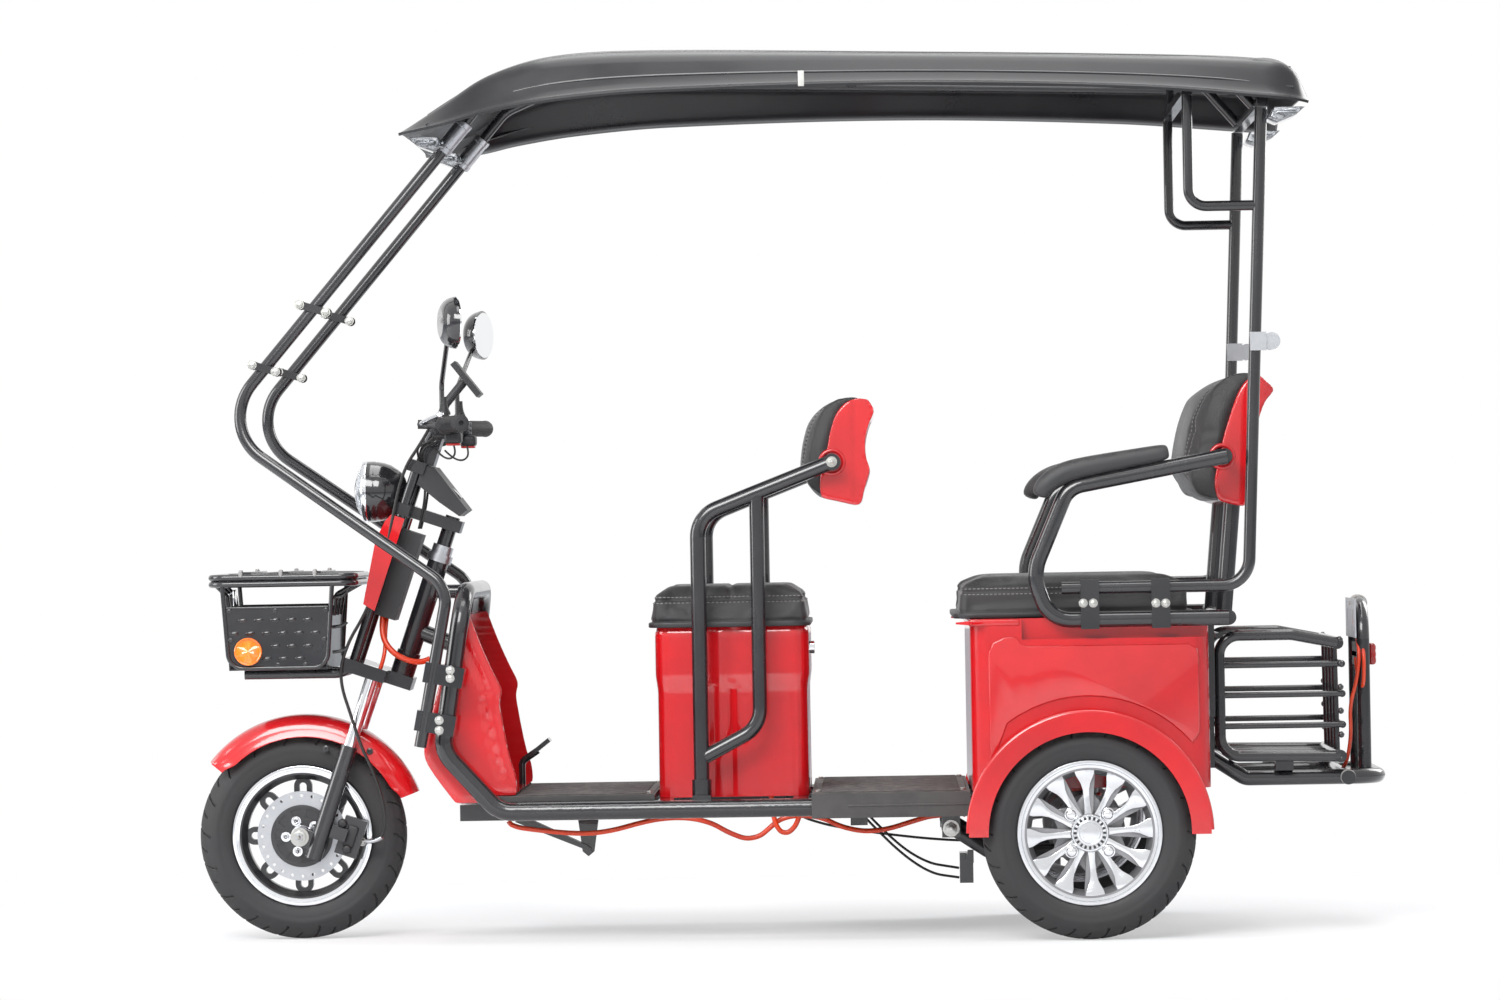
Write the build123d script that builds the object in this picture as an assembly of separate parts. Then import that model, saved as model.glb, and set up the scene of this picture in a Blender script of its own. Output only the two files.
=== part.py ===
from build123d import *
import os
from math import atan2, cos, degrees, pi, radians, sin, tan

# Electric passenger tricycle with a roof canopy, in millimetres.
# Frame: +X forward, +Y to the rider's left, +Z up. The origin is on the ground,
# under the middle of the overall length and width.


# ---- Wheels -------------------------------------------------------------
wheel_base = 1570.0
front_axle_x = 980.0
tyre_od = 416.0
front_tyre_width = 76.0
rear_tyre_width = 82.0
rim_seat_r = 127.0
rim_lip_r = 141.0
rim_lip_width = 4.0
rim_wall = 4.0
rim_half_width = 27.0
seat_gap = 0.3
rear_track = 690.0
axle_bore_clearance = 0.08
front_axle_r = 7.5
front_hub_r = 32.0
front_hub_half = 40.0
front_spokes = 8
rear_spokes = 12
rear_hub_r = 36.0
rear_stub_r = 10.0
disc_edge_gap = 37.0
disc_thickness = 3.5
disc_y = 34.0
disc_holes = 24
caliper_edge_gap = 26.4
caliper_turn = 17.35

# ---- Steering -----------------------------------------------------------
rake = 19.0
leg_offset = 50.0
axle_lead = 38.0
leg_y = 75.0
leg_r = 17.0
stanchion_r = 13.0
leg_bottom_s = -34.0
leg_top_s = tyre_od / 2 - 4
crown_s = 345.0
crown_height = 26.0
steerer_r = 15.0
head_tube_r = 21.0
head_bottom_s = 418.0
head_top_s = 608.0
upright_offset = 95.0
upright_y = 62.0
upright_r = 10.0
upright_top_s = 790.0
link_s = 676.0
link_height = 24.0
bar_s = 838.0
bar_offset = 85.0
bar_r = 11.0
bar_end_y = 335.0
bar_end_back = 82.0
bar_end_rise = 28.0
grip_r = 16.5
grip_length = 125.0

lamp_s = 698.6
lamp_offset = 178.4
carrier_s = 343.0
carrier_length = 212.0
carrier_bend = 42.0
basket_length = 300.0
basket_half_width = 155.0
basket_depth = 172.0
basket_plate_height = 126.0
basket_tube_r = 6.5
basket_stay_r = 4.5
basket_bend = 30.0
basket_wall = 3.0

# ---- Frame --------------------------------------------------------------
rail_r = 18.0
rail_y = 280.0
rail_z = 262.0
rail_rear_x = -345.0
hoop_top_z = 696.0
cross_size = 30.0
floor_thickness = 10.0
floor_front_x = 580.0
seat_box_front_x = 258.0
seat_box_rear_x = -48.0
seat_box_y = 190.0
seat_box_top_z = 616.0
panel_wall = 4.0

subframe_y = 226.0
subframe_r = 16.0
subframe_z = 438.0
frame_end_thickness = 15.4
pivot_x = -323.0
pivot_z = 211.0
pivot_r = 14.0

# ---- Seats --------------------------------------------------------------
driver_cushion_top_z = 693.0
driver_cushion_y = 205.0
driver_cushion_overhang = 14.0
seat_tube_r = 15.5
driver_arm_y = 240.0
rear_seat_top_z = 703.0
rear_seat_y = 300.0

# ---- Rear body ----------------------------------------------------------
body_front_x = -364.0
body_rear_x = -830.0
body_top_z = 626.0
body_bottom_z = 291.0
body_y = 350.0
arch_gap = 23.0
arch_lip = 38.0
arch_y = 400.0
arch_inner_y = 286.0
armrest_y = 353.0
armrest_z = 622.0

# ---- Canopy -------------------------------------------------------------
canopy_tube_r = 12.0
canopy_low_z = 684.0
roof_y = 475.0
roof_thickness = 5.0
roof_brim = 22.0
roof_wall_in = 50.0
post_y = 353.0
bracket_tilt = 17.0
post_top_x = -948.0
post_top_z = 1613.0
front_support_elbow = Vector(1113, 240, 1030)
front_support_top = Vector(632, 240, 1597)
handle_x = -804.0
handle_top_z = 1640.0
roof_rail_y = 240.0
roof_rail_r = 10.0
driver_back_seam = [
    (-79, 868.4), (-75.5, 884), (-76, 908), (-84, 936), (-91, 967), (-97, 997), (-106, 1026),
    (-118, 1046), (-134, 1059), (-154, 1065),
]
rear_back_seam = [
    (-860, 849), (-853, 863), (-851, 888), (-855, 912), (-863, 948), (-871, 979), (-881, 1010),
    (-893, 1045), (-905, 1070), (-920, 1088), (-934, 1098),
]
# Each station along the roof: x, edge height, crown height, half width, shoulder's half width.
roof_stations = [
    (738, 1597, 1603, 330, 200),
    (640, 1607, 1664, 440, 240),
    (557, 1626, 1722, 465, 280),
    (435, 1645, 1757, roof_y, 310),
    (236, 1660, 1763, roof_y, 320),
    (-246, 1666, 1748, roof_y, 320),
    (-700, 1650, 1735, roof_y, 320),
    (-954, 1628, 1724, 465, 310),
    (-1012, 1622, 1700, 455, 300),
    (-1036, 1618, 1634, 440, 290),
]

# ---- Rear rack ----------------------------------------------------------
rack_y = 200.0
rack_tube_r = 11.0
rack_bar_r = 6.0
bumper_r = 15.0
bumper_z = 300.0
bumper_end_x = -1188.0

bumper_y = 173.0

# ---- Leads --------------------------------------------------------------
conduit_r = 5.0
lead_r = 2.5

# ---- Worked out ---------------------------------------------------------
frame_end_x = body_rear_x - seat_gap
rack_front_x = frame_end_x - frame_end_thickness - seat_gap - rack_tube_r
axle_z = tyre_od / 2
rear_axle_x = front_axle_x - wheel_base
rear_wheel_y = rear_track / 2
axle_offset = leg_offset + axle_lead
disc_od = 2 * (rim_seat_r - disc_edge_gap)
crown_front = upright_offset + upright_r + 7
rail_top_z = rail_z + rail_r
floor_top_z = rail_top_z + seat_gap + floor_thickness


# ---- Shared shapes ------------------------------------------------------
def steer(s, d, y=0.0):
    """Point s up the steering axis from the axle, d ahead of the axis, y to the left."""
    ahead = d - axle_offset
    x = front_axle_x - s * sin(radians(rake)) + ahead * cos(radians(rake))
    z = axle_z + s * cos(radians(rake)) + ahead * sin(radians(rake))
    return Vector(x, y, z)


def steer_box(s_low, s_high, d_low, d_high, y_low, y_high):
    """Box with its faces along the steering axis."""
    centre = steer((s_low + s_high) / 2, (d_low + d_high) / 2, (y_low + y_high) / 2)
    block = Box(d_high - d_low, y_high - y_low, s_high - s_low)
    return Location(centre, (0, -rake, 0)) * block


def box(x_low, x_high, y_low, y_high, z_low, z_high):
    """Box between two corners."""
    block = Box(x_high - x_low, y_high - y_low, z_high - z_low)
    return Pos((x_low + x_high) / 2, (y_low + y_high) / 2, (z_low + z_high) / 2) * block


def steer_prism(points, y_low, y_high):
    """Solid with an outline of (s, d) points along the steering axis, between two Y values."""
    outline = Polyline(*[steer(s, d, y_low) for s, d in points], close=True)
    return extrude(make_face(outline), amount=y_high - y_low, dir=(0, 1, 0))


def rod(start, end, radius):
    """Round bar between two points."""
    path = Line(start, end)
    return sweep(Plane(origin=path @ 0, z_dir=path % 0) * Circle(radius), path=path)


def tube(points, radius, bend):
    """Round bar along straight runs joined by bends of the given radius or radii."""
    path = FilletPolyline(*points, radius=bend)
    return sweep(Plane(origin=path @ 0, z_dir=path % 0) * Circle(radius), path=path)


def disc(x, z, radius, y_low, y_high):
    """Cylinder along Y."""
    middle = (y_low + y_high) / 2
    return Pos(x, middle, z) * Rot(90, 0, 0) * Cylinder(radius, abs(y_high - y_low))


def side_prism(points, y_low, y_high):
    """Solid with an outline of (x, z) points, between two Y values."""
    outline = Polyline(*[(x, y_low, z) for x, z in points], close=True)
    return extrude(make_face(outline), amount=y_high - y_low, dir=(0, 1, 0))


def right_of(shape):
    """The same shape on the other side of the centre plane."""
    return mirror(shape, about=Plane.XZ)


def both(shape):
    """A left-hand shape together with its right-hand twin."""
    return [shape, right_of(shape)]


# ---- Wheels -------------------------------------------------------------
def tyre(width):
    """Tyre about the Y axis, seated a small gap off its rim."""
    outer_r = tyre_od / 2
    bead_r = rim_seat_r + seat_gap
    bead_y = rim_half_width
    shoulder_r = outer_r - 0.05 * width
    shoulder_y = 0.33 * width
    widest_r = (rim_lip_r + outer_r) / 2
    foot_r = rim_lip_r + 1.0
    outline = [
        Line((bead_r, -bead_y), (bead_r, bead_y)),
        Line((bead_r, bead_y), (foot_r, bead_y)),
        ThreePointArc((foot_r, bead_y), (widest_r, width / 2), (shoulder_r, shoulder_y)),
        ThreePointArc((shoulder_r, shoulder_y), (outer_r, 0), (shoulder_r, -shoulder_y)),
        ThreePointArc((shoulder_r, -shoulder_y), (widest_r, -width / 2), (foot_r, -bead_y)),
        Line((foot_r, -bead_y), (bead_r, -bead_y)),
    ]
    return revolve(make_face(Wire(outline)), axis=Axis.Y)


def rim_barrel():
    """Rim well and lips about the Y axis."""
    lip_in = rim_half_width + seat_gap
    lip_out = lip_in + rim_lip_width
    well_r = rim_seat_r - 10
    half = [
        (rim_lip_r, lip_out),
        (rim_lip_r, lip_in),
        (rim_seat_r, lip_in),
        (rim_seat_r, lip_in - 8),
        (well_r, lip_in - 16),
    ]
    inner = [(well_r - rim_wall, lip_in - 16), (rim_seat_r - rim_wall, lip_out)]
    outline = half + [(r, -y) for r, y in reversed(half)]
    outline += [(r, -y) for r, y in reversed(inner)] + inner
    return revolve(make_face(Polyline(*outline, close=True)), axis=Axis.Y)


def front_rim():
    """Cast rim with oval loop spokes, hub and brake disc carrier."""
    spoke_out = rim_seat_r - 10
    spoke_in = front_hub_r - 8
    spoke = SlotOverall(spoke_out - spoke_in, 36) - SlotOverall(spoke_out - spoke_in - 22, 15)
    spoke = Pos((spoke_out + spoke_in) / 2, 0) * spoke
    web = Rot(90, 0, 0) * extrude(spoke, amount=8, both=True)
    rim = rim_barrel() + disc(0, 0, front_hub_r, -front_hub_half, front_hub_half)
    for index in range(front_spokes):
        rim += Rot(0, index * 360 / front_spokes, 0) * web
    carrier = disc(0, 0, 62, disc_y - 6, disc_y)
    rim += carrier - disc(0, 0, front_hub_r - 2, 0, disc_y + 1)
    rim -= disc(0, 0, front_axle_r + axle_bore_clearance, -front_hub_half - 1, front_hub_half + 1)
    return rim


def brake_disc():
    """Drilled steel ring bolted on the carrier."""
    ring = disc(0, 0, disc_od / 2, disc_y, disc_y + disc_thickness)
    ring -= disc(0, 0, 50, disc_y - 1, disc_y + disc_thickness + 1)
    hole = disc(disc_od / 2 - 9, 0, 3.2, disc_y - 1, disc_y + disc_thickness + 1)
    for index in range(disc_holes):
        ring -= Rot(0, index * 360 / disc_holes, 0) * hole
    return ring


def rear_rim():
    """Cast rim with twelve flared spokes, hub and wheel nuts, for the left side."""
    spoke_out = rim_seat_r - 10
    spoke_in = rear_hub_r - 6
    spoke = Polyline((spoke_in, -6), (spoke_out, -12), (spoke_out, 12), (spoke_in, 6), close=True)
    spoke = Rot(90, 0, 0) * extrude(make_face(spoke), amount=7, both=True)
    rim = rim_barrel() + disc(0, 0, rear_hub_r, -20, 24)
    for index in range(rear_spokes):
        rim += Rot(0, index * 360 / rear_spokes, 0) * Pos(0, 14, 0) * spoke
    rim += disc(0, 0, 34, 20, 30)
    for index in range(4):
        rim += Rot(0, 45 + index * 90, 0) * disc(51, 0, 11, 10, 27)
    return rim - disc(0, 0, rear_stub_r + axle_bore_clearance, -21, 21)


# ---- Front fork ---------------------------------------------------------
def fork_lowers():
    """Two lower legs with the lugs that carry the axle."""
    leg = rod(steer(leg_bottom_s, leg_offset, leg_y), steer(leg_top_s, leg_offset, leg_y), leg_r)
    lug = steer_box(-18, 18, leg_offset, axle_offset, leg_y - 9, leg_y + 9)
    leg += lug + disc(front_axle_x, axle_z, 18, leg_y - 9, leg_y + 9)
    socket = rod(
        steer(leg_top_s - 90, leg_offset, leg_y),
        steer(leg_top_s + 1, leg_offset, leg_y),
        stanchion_r + seat_gap,
    )
    leg -= socket
    leg -= disc(front_axle_x, axle_z, front_axle_r + axle_bore_clearance, leg_y - 20, leg_y + 20)
    return both(leg)


def fork_stanchions():
    """Two chrome stanchions from the legs into the crown."""
    return both(
        rod(
            steer(leg_top_s - 89, leg_offset, leg_y),
            steer(crown_s + crown_height, leg_offset, leg_y),
            stanchion_r,
        )
    )


def fork_crown():
    """Lower crown with the steering stem."""
    top = crown_s + crown_height
    crown = steer_box(crown_s, top, -28, crown_front, -40, 40)
    crown += steer_box(crown_s, top, leg_offset - 26, crown_front, -98, 98)
    crown += rod(steer(crown_s, 0), steer(link_s + link_height + 4, 0), steerer_r)
    crown += rod(steer(top, 0), steer(head_bottom_s - 0.5, 0), head_tube_r + 3)
    for side in (-1, 1):
        crown -= rod(
            steer(crown_s - 1, leg_offset, side * leg_y),
            steer(top + 1, leg_offset, side * leg_y),
            stanchion_r + seat_gap,
        )
    return crown


def fork_uprights():
    """Twin upper tubes with the top link and the handlebar clamp."""
    bend = steer(carrier_s, upright_offset, upright_y)
    tubes = both(
        tube(
            [bend + Vector(carrier_length, 0, 0), bend, steer(upright_top_s, upright_offset, upright_y)],
            upright_r, carrier_bend,
        )
    )
    link = steer_box(link_s, link_s + link_height, -24, upright_offset + 14, -30, 30)
    link += steer_box(
        link_s, link_s + link_height, upright_offset - 14, upright_offset + 14,
        -upright_y - 14, upright_y + 14,
    )
    link -= rod(steer(link_s - 1, 0), steer(link_s + link_height + 1, 0), steerer_r + seat_gap)
    clamp = steer_box(upright_top_s - 24, upright_top_s, 78, 112, -upright_y - 14, upright_y + 14)
    clamp += steer_box(upright_top_s - 2, bar_s + 16, bar_offset - 18, bar_offset + 18, -32, 32)
    clamp -= rod(steer(bar_s, bar_offset, -40), steer(bar_s, bar_offset, 40), bar_r + seat_gap)
    return Part() + tubes + link + clamp


def headset_nuts():
    """Lock nuts on the stem above the head tube."""
    low = head_top_s + 0.5
    nuts = rod(steer(low, 0), steer(low + 16, 0), head_tube_r + 4)
    nuts += rod(steer(low + 16, 0), steer(low + 34, 0), head_tube_r)
    return nuts - rod(steer(low - 1, 0), steer(low + 40, 0), steerer_r + seat_gap)


def front_axle():
    """Through axle with nuts and spacers."""
    end_y = leg_y + 9 + seat_gap
    axle = disc(front_axle_x, axle_z, front_axle_r, -end_y - 16, end_y + 16)
    nut = disc(front_axle_x, axle_z, 13, end_y, end_y + 10)
    spacer = disc(front_axle_x, axle_z, 13, front_hub_half + 0.5, leg_y - 9 - seat_gap)
    return Part() + axle + both(nut) + both(spacer)


def front_fender():
    """Curved mudguard over the front tyre, open below, with its stays."""
    outer_r = tyre_od / 2 + 37
    wall = 3.0
    half = 53.0
    profile = make_face(
        Polyline(
            (outer_r, -half + 26), (outer_r, half - 26), (outer_r - 14, half - 8),
            (outer_r - 46, half), (outer_r - 46, half - wall), (outer_r - 15, half - 10),
            (outer_r - wall, half - 27), (outer_r - wall, -half + 27),
            (outer_r - 15, -half + 10), (outer_r - 46, -half + wall), (outer_r - 46, -half),
            (outer_r - 14, -half + 8), close=True,
        )
    )
    start = Rot(0, -38, 0) * profile
    guard = revolve(start, axis=Axis.Y, revolution_arc=-121)
    guard = Pos(front_axle_x - 6, 0, axle_z) * guard
    for side in (-1, 1):
        y_low, y_high = sorted((side * (half - 2), side * (leg_y - leg_r - seat_gap)))
        guard += steer_box(leg_top_s - 24, leg_top_s - 4, leg_offset - 10, leg_offset + 10, y_low, y_high)
    return guard


def brake_caliper():
    """Two-piston caliper over the disc's rear edge, on the left leg."""
    reach = rim_seat_r - caliper_edge_gap
    rise = reach * sin(radians(caliper_turn))
    ahead = axle_offset - reach * cos(radians(caliper_turn))
    centre = steer(rise, ahead)
    x, z = centre.X, centre.Z
    outer = disc_y + disc_thickness + 1
    body = Pos(x, (outer + 62) / 2, z) * Rot(0, -rake, 0) * Box(46, 62 - outer, 78)
    inner = Pos(x, (24 + outer) / 2, z) * Rot(0, -rake, 0) * Box(46, outer - 24, 60)
    inner &= disc(front_axle_x, axle_z, rim_seat_r - 22, 24, outer)
    body += inner
    body -= disc(front_axle_x, axle_z, disc_od / 2 + 3, disc_y - 1, outer)
    return body + steer_box(rise - 12, rise + 14, ahead + 8, leg_offset - leg_r - seat_gap, 50, 82)


# ---- Front basket and lamp ---------------------------------------------
def carrier():
    """Point under the middle of the basket's rear edge, on top of the carrier tubes."""
    bend = steer(carrier_s, upright_offset)
    return Vector(bend.X - 25, 0, bend.Z + upright_r + seat_gap)


def rounded_ring(x_low, x_high, half, z, radius, corner):
    """Horizontal loop of round tube."""
    points = [(x_low, 0, z), (x_low, half, z), (x_high, half, z), (x_high, 0, z)]
    left = tube(points, radius, corner)
    return left + right_of(left)


def basket_side(low):
    """Left side plate with its tube that runs from the rim round the plate."""
    start = carrier().X
    y = basket_half_width - basket_tube_r
    top = low + basket_depth
    stay = tube(
        [(start + 270, y, top), (start + 258, y, low + basket_stay_r), (start + 62, y, low + basket_stay_r),
         (start + 50, y, top)],
        basket_stay_r, basket_bend,
    )
    outline = [(start + 264, low + basket_plate_height), (start + 260, low + 24), (start + 236, low + 3),
               (start + 84, low + 3), (start + 60, low + 24), (start + 56, low + basket_plate_height)]
    plate = side_prism(outline, y - basket_wall / 2, y + basket_wall / 2)
    return stay + plate


def basket():
    """Basket with plated sides, open below its tube rim."""
    corner = carrier()
    low = corner.Z
    front, rear = corner.X + basket_length, corner.X
    y = basket_half_width - basket_tube_r
    rim_z = low + basket_depth
    shell = rounded_ring(rear + basket_tube_r, front - basket_tube_r, y, rim_z, basket_tube_r, 30)
    shell += both(basket_side(low))
    inner_y = y - basket_stay_r - 0.5
    shell += box(rear + 62, front - 42, -inner_y, inner_y, low, low + basket_stay_r)
    shell += box(rear + 62 + basket_bend, front - 42 - basket_bend, -y, y, low, low + basket_stay_r)
    plate_top = low + basket_plate_height
    shell += side_prism(
        [(front - 42, low), (front - 36, plate_top), (front - 36 - basket_wall, plate_top),
         (front - 42 - basket_wall, low)], -y, y,
    )
    shell += side_prism(
        [(rear + 62, low), (rear + 56, plate_top), (rear + 56 + basket_wall, plate_top),
         (rear + 62 + basket_wall, low)], -y, y,
    )
    for side in (-70.0, 0.0, 70.0):
        shell += tube([(front - 36, side, plate_top - 20), (front - 30, side, rim_z - 24),
                       (front - basket_tube_r, side, rim_z)], basket_stay_r, 12)
        shell += tube([(rear + 56, side, plate_top - 20), (rear + 50, side, rim_z - 24),
                       (rear + basket_tube_r, side, rim_z)], basket_stay_r, 12)
    return shell


def basket_lid():
    """Hinged tube frame with a sheet and three cross straps."""
    corner = carrier()
    z = corner.Z + basket_depth + 2 * basket_tube_r + seat_gap
    front, rear = corner.X + basket_length, corner.X
    half = basket_half_width - basket_tube_r
    lid = rounded_ring(rear + basket_tube_r, front - basket_tube_r, half, z, basket_tube_r, 30)
    lid += box(rear + 8, front - 8, -half + 2, half - 2, z - 1, z + 2)
    for x in (front - 80, front - 155, front - 220):
        lid += box(x - 8, x + 8, -half, half, z, z + 11)
    return lid


def side_reflectors():
    """Round amber reflectors on the basket's side plates."""
    low = carrier().Z
    y = basket_half_width - basket_tube_r + basket_wall / 2 + seat_gap
    return both(disc(carrier().X + 219, low + 38, 27, y, y + 7))


def lamp_place():
    """Middle of the lamp's rim, facing forward."""
    return Location(steer(lamp_s, lamp_offset))


def headlight_housing():
    """Round lamp bowl ahead of the twin tubes, with ears that meet them."""
    profile = make_face(
        Polyline((0, 0), (0, 61), (-22, 60), (-42, 50), (-54, 34), (-58, 0), close=True)
    )
    bowl = lamp_place() * revolve(profile, axis=Axis.X)
    s = (lamp_place().position.Z - steer(0, upright_offset).Z) / cos(radians(rake))
    ears = both(
        steer_box(s - 12, s + 12, upright_offset, upright_offset + 40,
                  upright_y - upright_r - 14, upright_y - upright_r - seat_gap)
    )
    return bowl + ears[0] + ears[1]


def headlight_lens():
    """Chrome bezel and domed lens."""
    profile = make_face(Polyline((0, 0), (0, 60), (14, 56), (24, 36), (30, 0), close=True))
    return lamp_place() * Pos(seat_gap, 0, 0) * revolve(profile, axis=Axis.X)


def front_panel():
    """Thin shield below the lamp, ahead of the twin tubes."""
    face = [(478, 84), (484, 110), (612, 126), (655, 120), (672, 112), (672, 84)]
    shell = steer_prism(face, -100, 100)
    shell -= steer_prism(
        [(465, 70), (465, 106), (484, 106), (612, 122), (652, 116), (680, 104), (680, 70)],
        -96.5, 96.5,
    )
    for s in (512.0, 630.0):
        for side in (-1, 1):
            y_low, y_high = sorted((side * (upright_y - 6), side * (upright_y + 6)))
            shell += steer_box(s - 8, s + 8, upright_offset + upright_r + seat_gap, 116, y_low, y_high)
    return shell


def controller_box():
    """Electronics box between the twin tubes."""
    case = steer_box(470, 650, 44, 96, -46, 46)
    reach = upright_y - upright_r - seat_gap
    for s in (500.0, 620.0):
        case += steer_box(s - 10, s + 10, upright_offset - 5, upright_offset + 1, -reach, reach)
    return case


def dashboard():
    """Wedge-shaped instrument panel behind the lamp."""
    clamp_low = upright_top_s - 24 - seat_gap
    front = upright_offset - upright_r - seat_gap
    return steer_prism(
        [(clamp_low, front), (clamp_low, 77.7), (786, 77.7), (788, 62), (727, -28), (710, -16),
         (724, 30), (745, front)],
        -70, 70,
    )


def handlebar():
    """Handlebar tube with pull-back bends."""
    centre = steer(bar_s, bar_offset)
    half = [centre + Vector(0, 85, 0), bar_elbow(), bar_end()]
    points = [Vector(p.X, -p.Y, p.Z) for p in reversed(half)] + half
    return tube(points, bar_r, 40)


def bar_elbow():
    """Outer bend of the handlebar's left half."""
    return steer(bar_s, bar_offset) + Vector(-24, 170, 27)


def bar_end():
    """Left end of the handlebar."""
    return steer(bar_s, bar_offset) + Vector(-bar_end_back, bar_end_y, bar_end_rise)


def grip_line():
    """Outer end and direction of the left grip."""
    return bar_end(), (bar_end() - bar_elbow()).normalized()


def grips():
    """Two rubber grips round the bar ends."""
    end, along = grip_line()
    grip = rod(end - along * grip_length, end + along * 4, grip_r)
    grip -= rod(end - along * (grip_length + 1), end + along * 0.3, bar_r + 0.2)
    return both(grip)


def hand_controls():
    """Switch housings and brake levers beside the grips."""
    end, along = grip_line()
    inner = end - along * (grip_length + 4)
    house = rod(inner - along * 34, inner, 21)
    house += rod(inner - along * 17, inner - along * 17 + Vector(48, 0, 2), 9)
    tip = end + Vector(46, 0, -4)
    house += rod(inner - along * 17 + Vector(44, 0, 2), tip, 6)
    house -= rod(inner - along * 60, inner + along * 60, bar_r + 0.2)
    return both(house)


def mirror_place():
    """Frame of the left mirror, with its X axis pointing ahead of the glass."""
    centre = bar_end() + Vector(6, 32, 195)
    return Location(centre, (0, 0, 12))


def mirror_oval(x, half_width, half_height):
    """Oval face across the mirror's facing direction."""
    return Plane(origin=(x, 0, 0), x_dir=(0, 1, 0), z_dir=(1, 0, 0)) * Ellipse(half_width, half_height)


def mirror_shells():
    """Mirror housings on their stems."""
    end, along = grip_line()
    foot = end - along * (grip_length + 21) + Vector(0, 0, 21.3)
    head = loft([mirror_oval(0, 74, 51), mirror_oval(16, 68, 46), mirror_oval(30, 44, 28)])
    head = mirror_place() * head
    back = bar_end() + Vector(26, -15, 161)
    stem = tube([foot, foot + Vector(0, 0, 60), back, back + Vector(0, 24, 8)], 5, [25, 12])
    return both(head + stem)


def mirror_glass():
    """Flat oval glasses behind the housings."""
    glass = extrude(mirror_oval(-3.3, 70, 47), amount=3, dir=(1, 0, 0))
    return both(mirror_place() * glass)


def phone_holder():
    """Tilted cradle on the handlebar's centre clamp."""
    centre = steer(bar_s + 96, bar_offset) + Vector(-38, 0, 31)
    cradle = Location(centre, (0, -52, 0)) * Box(84, 76, 12)
    top = bar_s + 16 + seat_gap
    stalk = tube([steer(top, bar_offset), steer(top + 60, bar_offset), centre + Vector(6, 0, -4)], 9, 16)
    return cradle + stalk


# ---- Main frame ---------------------------------------------------------
def main_frame():
    """Floor rails that rise into the front hoop, head tube, spine and rear kick-up."""
    half = [
        (hoop_x(hoop_top_z), rail_y, hoop_top_z),
        (675, rail_y, 384),
        (565, rail_y, rail_z),
        (rail_rear_x, rail_y, rail_z),
    ]
    points = [(x, -y, z) for x, y, z in reversed(half)] + half
    frame = tube(points, rail_r, [60, 60, 80, 80, 60, 60])
    head = rod(steer(head_bottom_s, 0), steer(head_top_s, 0), head_tube_r)
    head += rod(steer(head_top_s - 60, -10), (hoop_x(hoop_top_z) , 0, hoop_top_z - 2), 14)
    head += tube([steer(head_bottom_s + 45, -6), (668, 0, 586), (640, 0, 540), (606, 0, 255)], 17, 34)
    head -= rod(
        steer(head_bottom_s - 1, 0), steer(head_top_s + 1, 0), steerer_r + axle_bore_clearance
    )
    frame += head
    frame += box(548, 650, -180, 180, 240, 272)
    for x in (562.0, seat_box_front_x - 20, seat_box_rear_x + 20, rail_rear_x + 15):
        frame += box(x - 15, x + 15, -rail_y, rail_y, rail_top_z - cross_size, rail_top_z)
    end_low, end_high = frame_end_x - frame_end_thickness, frame_end_x
    for side in (-1, 1):
        y = side * subframe_y
        frame += tube(
            [(rail_rear_x + 30, y, rail_z), (-402, y, rail_z), (-440, y, subframe_z),
             (end_high - 6, y, subframe_z)],
            subframe_r, 40,
        )
        frame += box(end_low, end_high, y - 20, y + 20, subframe_z, armrest_z - 10 - seat_gap)
        frame += box(end_low, end_high, side * bumper_y - 20, side * bumper_y + 20, 322, subframe_z)
    frame += box(-472, -444, -subframe_y, subframe_y, subframe_z - 12, subframe_z + 12)
    frame += box(end_low, end_high, -subframe_y - 10, subframe_y + 10, subframe_z - 14, subframe_z + 14)
    for side in (-1, 1):
        ear = box(pivot_x - 18, pivot_x + 18, side * 182 - 12, side * 182 + 12, pivot_z - 18, rail_z)
        frame += ear - disc(pivot_x, pivot_z, pivot_r + seat_gap, -200, 200)
    return frame


def hoop_x(z):
    """X of the hoop's upright at a height."""
    return 657 - 0.153 * (z - 504)


def leg_shield():
    """Wind and leg shield with side wings, open to the rear."""
    front = [(646, 652), (668, 560), (700, 440), (713, 396), (713, 366), (653, 277)]
    rear = [(592, 277), (592, floor_top_z + seat_gap), (530, floor_top_z + seat_gap), (530, 329),
            (543, 360), (563, 470), (557, 499), (612, 620), (624, 652)]
    shell = side_prism(front + rear, -250, 250)
    inside = side_prism([(x - 5, z) for x, z in front[1:-1]] + [(648, 270), (480, 270), (480, 700), (641, 660)],
                        -250 + panel_wall, 250 - panel_wall)
    shell -= inside
    shell -= box(600, 760, -30, 30, 540, 640)
    return shell


def front_floor():
    """Rubber-covered footboard ahead of the driver's seat."""
    half = rail_y - rail_r - 2
    return box(seat_box_front_x + 2, floor_front_x, -half, half, rail_top_z + seat_gap, floor_top_z)


def rear_floor():
    """Passenger footboard with a deep rim."""
    board = box(body_front_x + 4, seat_box_rear_x - 2, -330, 330, 242, floor_top_z)
    board -= box(body_front_x, seat_box_rear_x - 10, -322, 322, 241, rail_top_z + seat_gap)
    board -= box(-100, 0, -322, 322, 241, rail_top_z + seat_gap)
    return board


def brake_pedal():
    """Foot brake pedal on its arm."""
    pad = Location((508, -120, 372), (0, 38, 0)) * Box(52, 62, 9)
    arm = tube([(512, -120, 366), (545, -120, 344), (545, -120, floor_top_z + seat_gap)], 7, 15)
    return pad + arm


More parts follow.
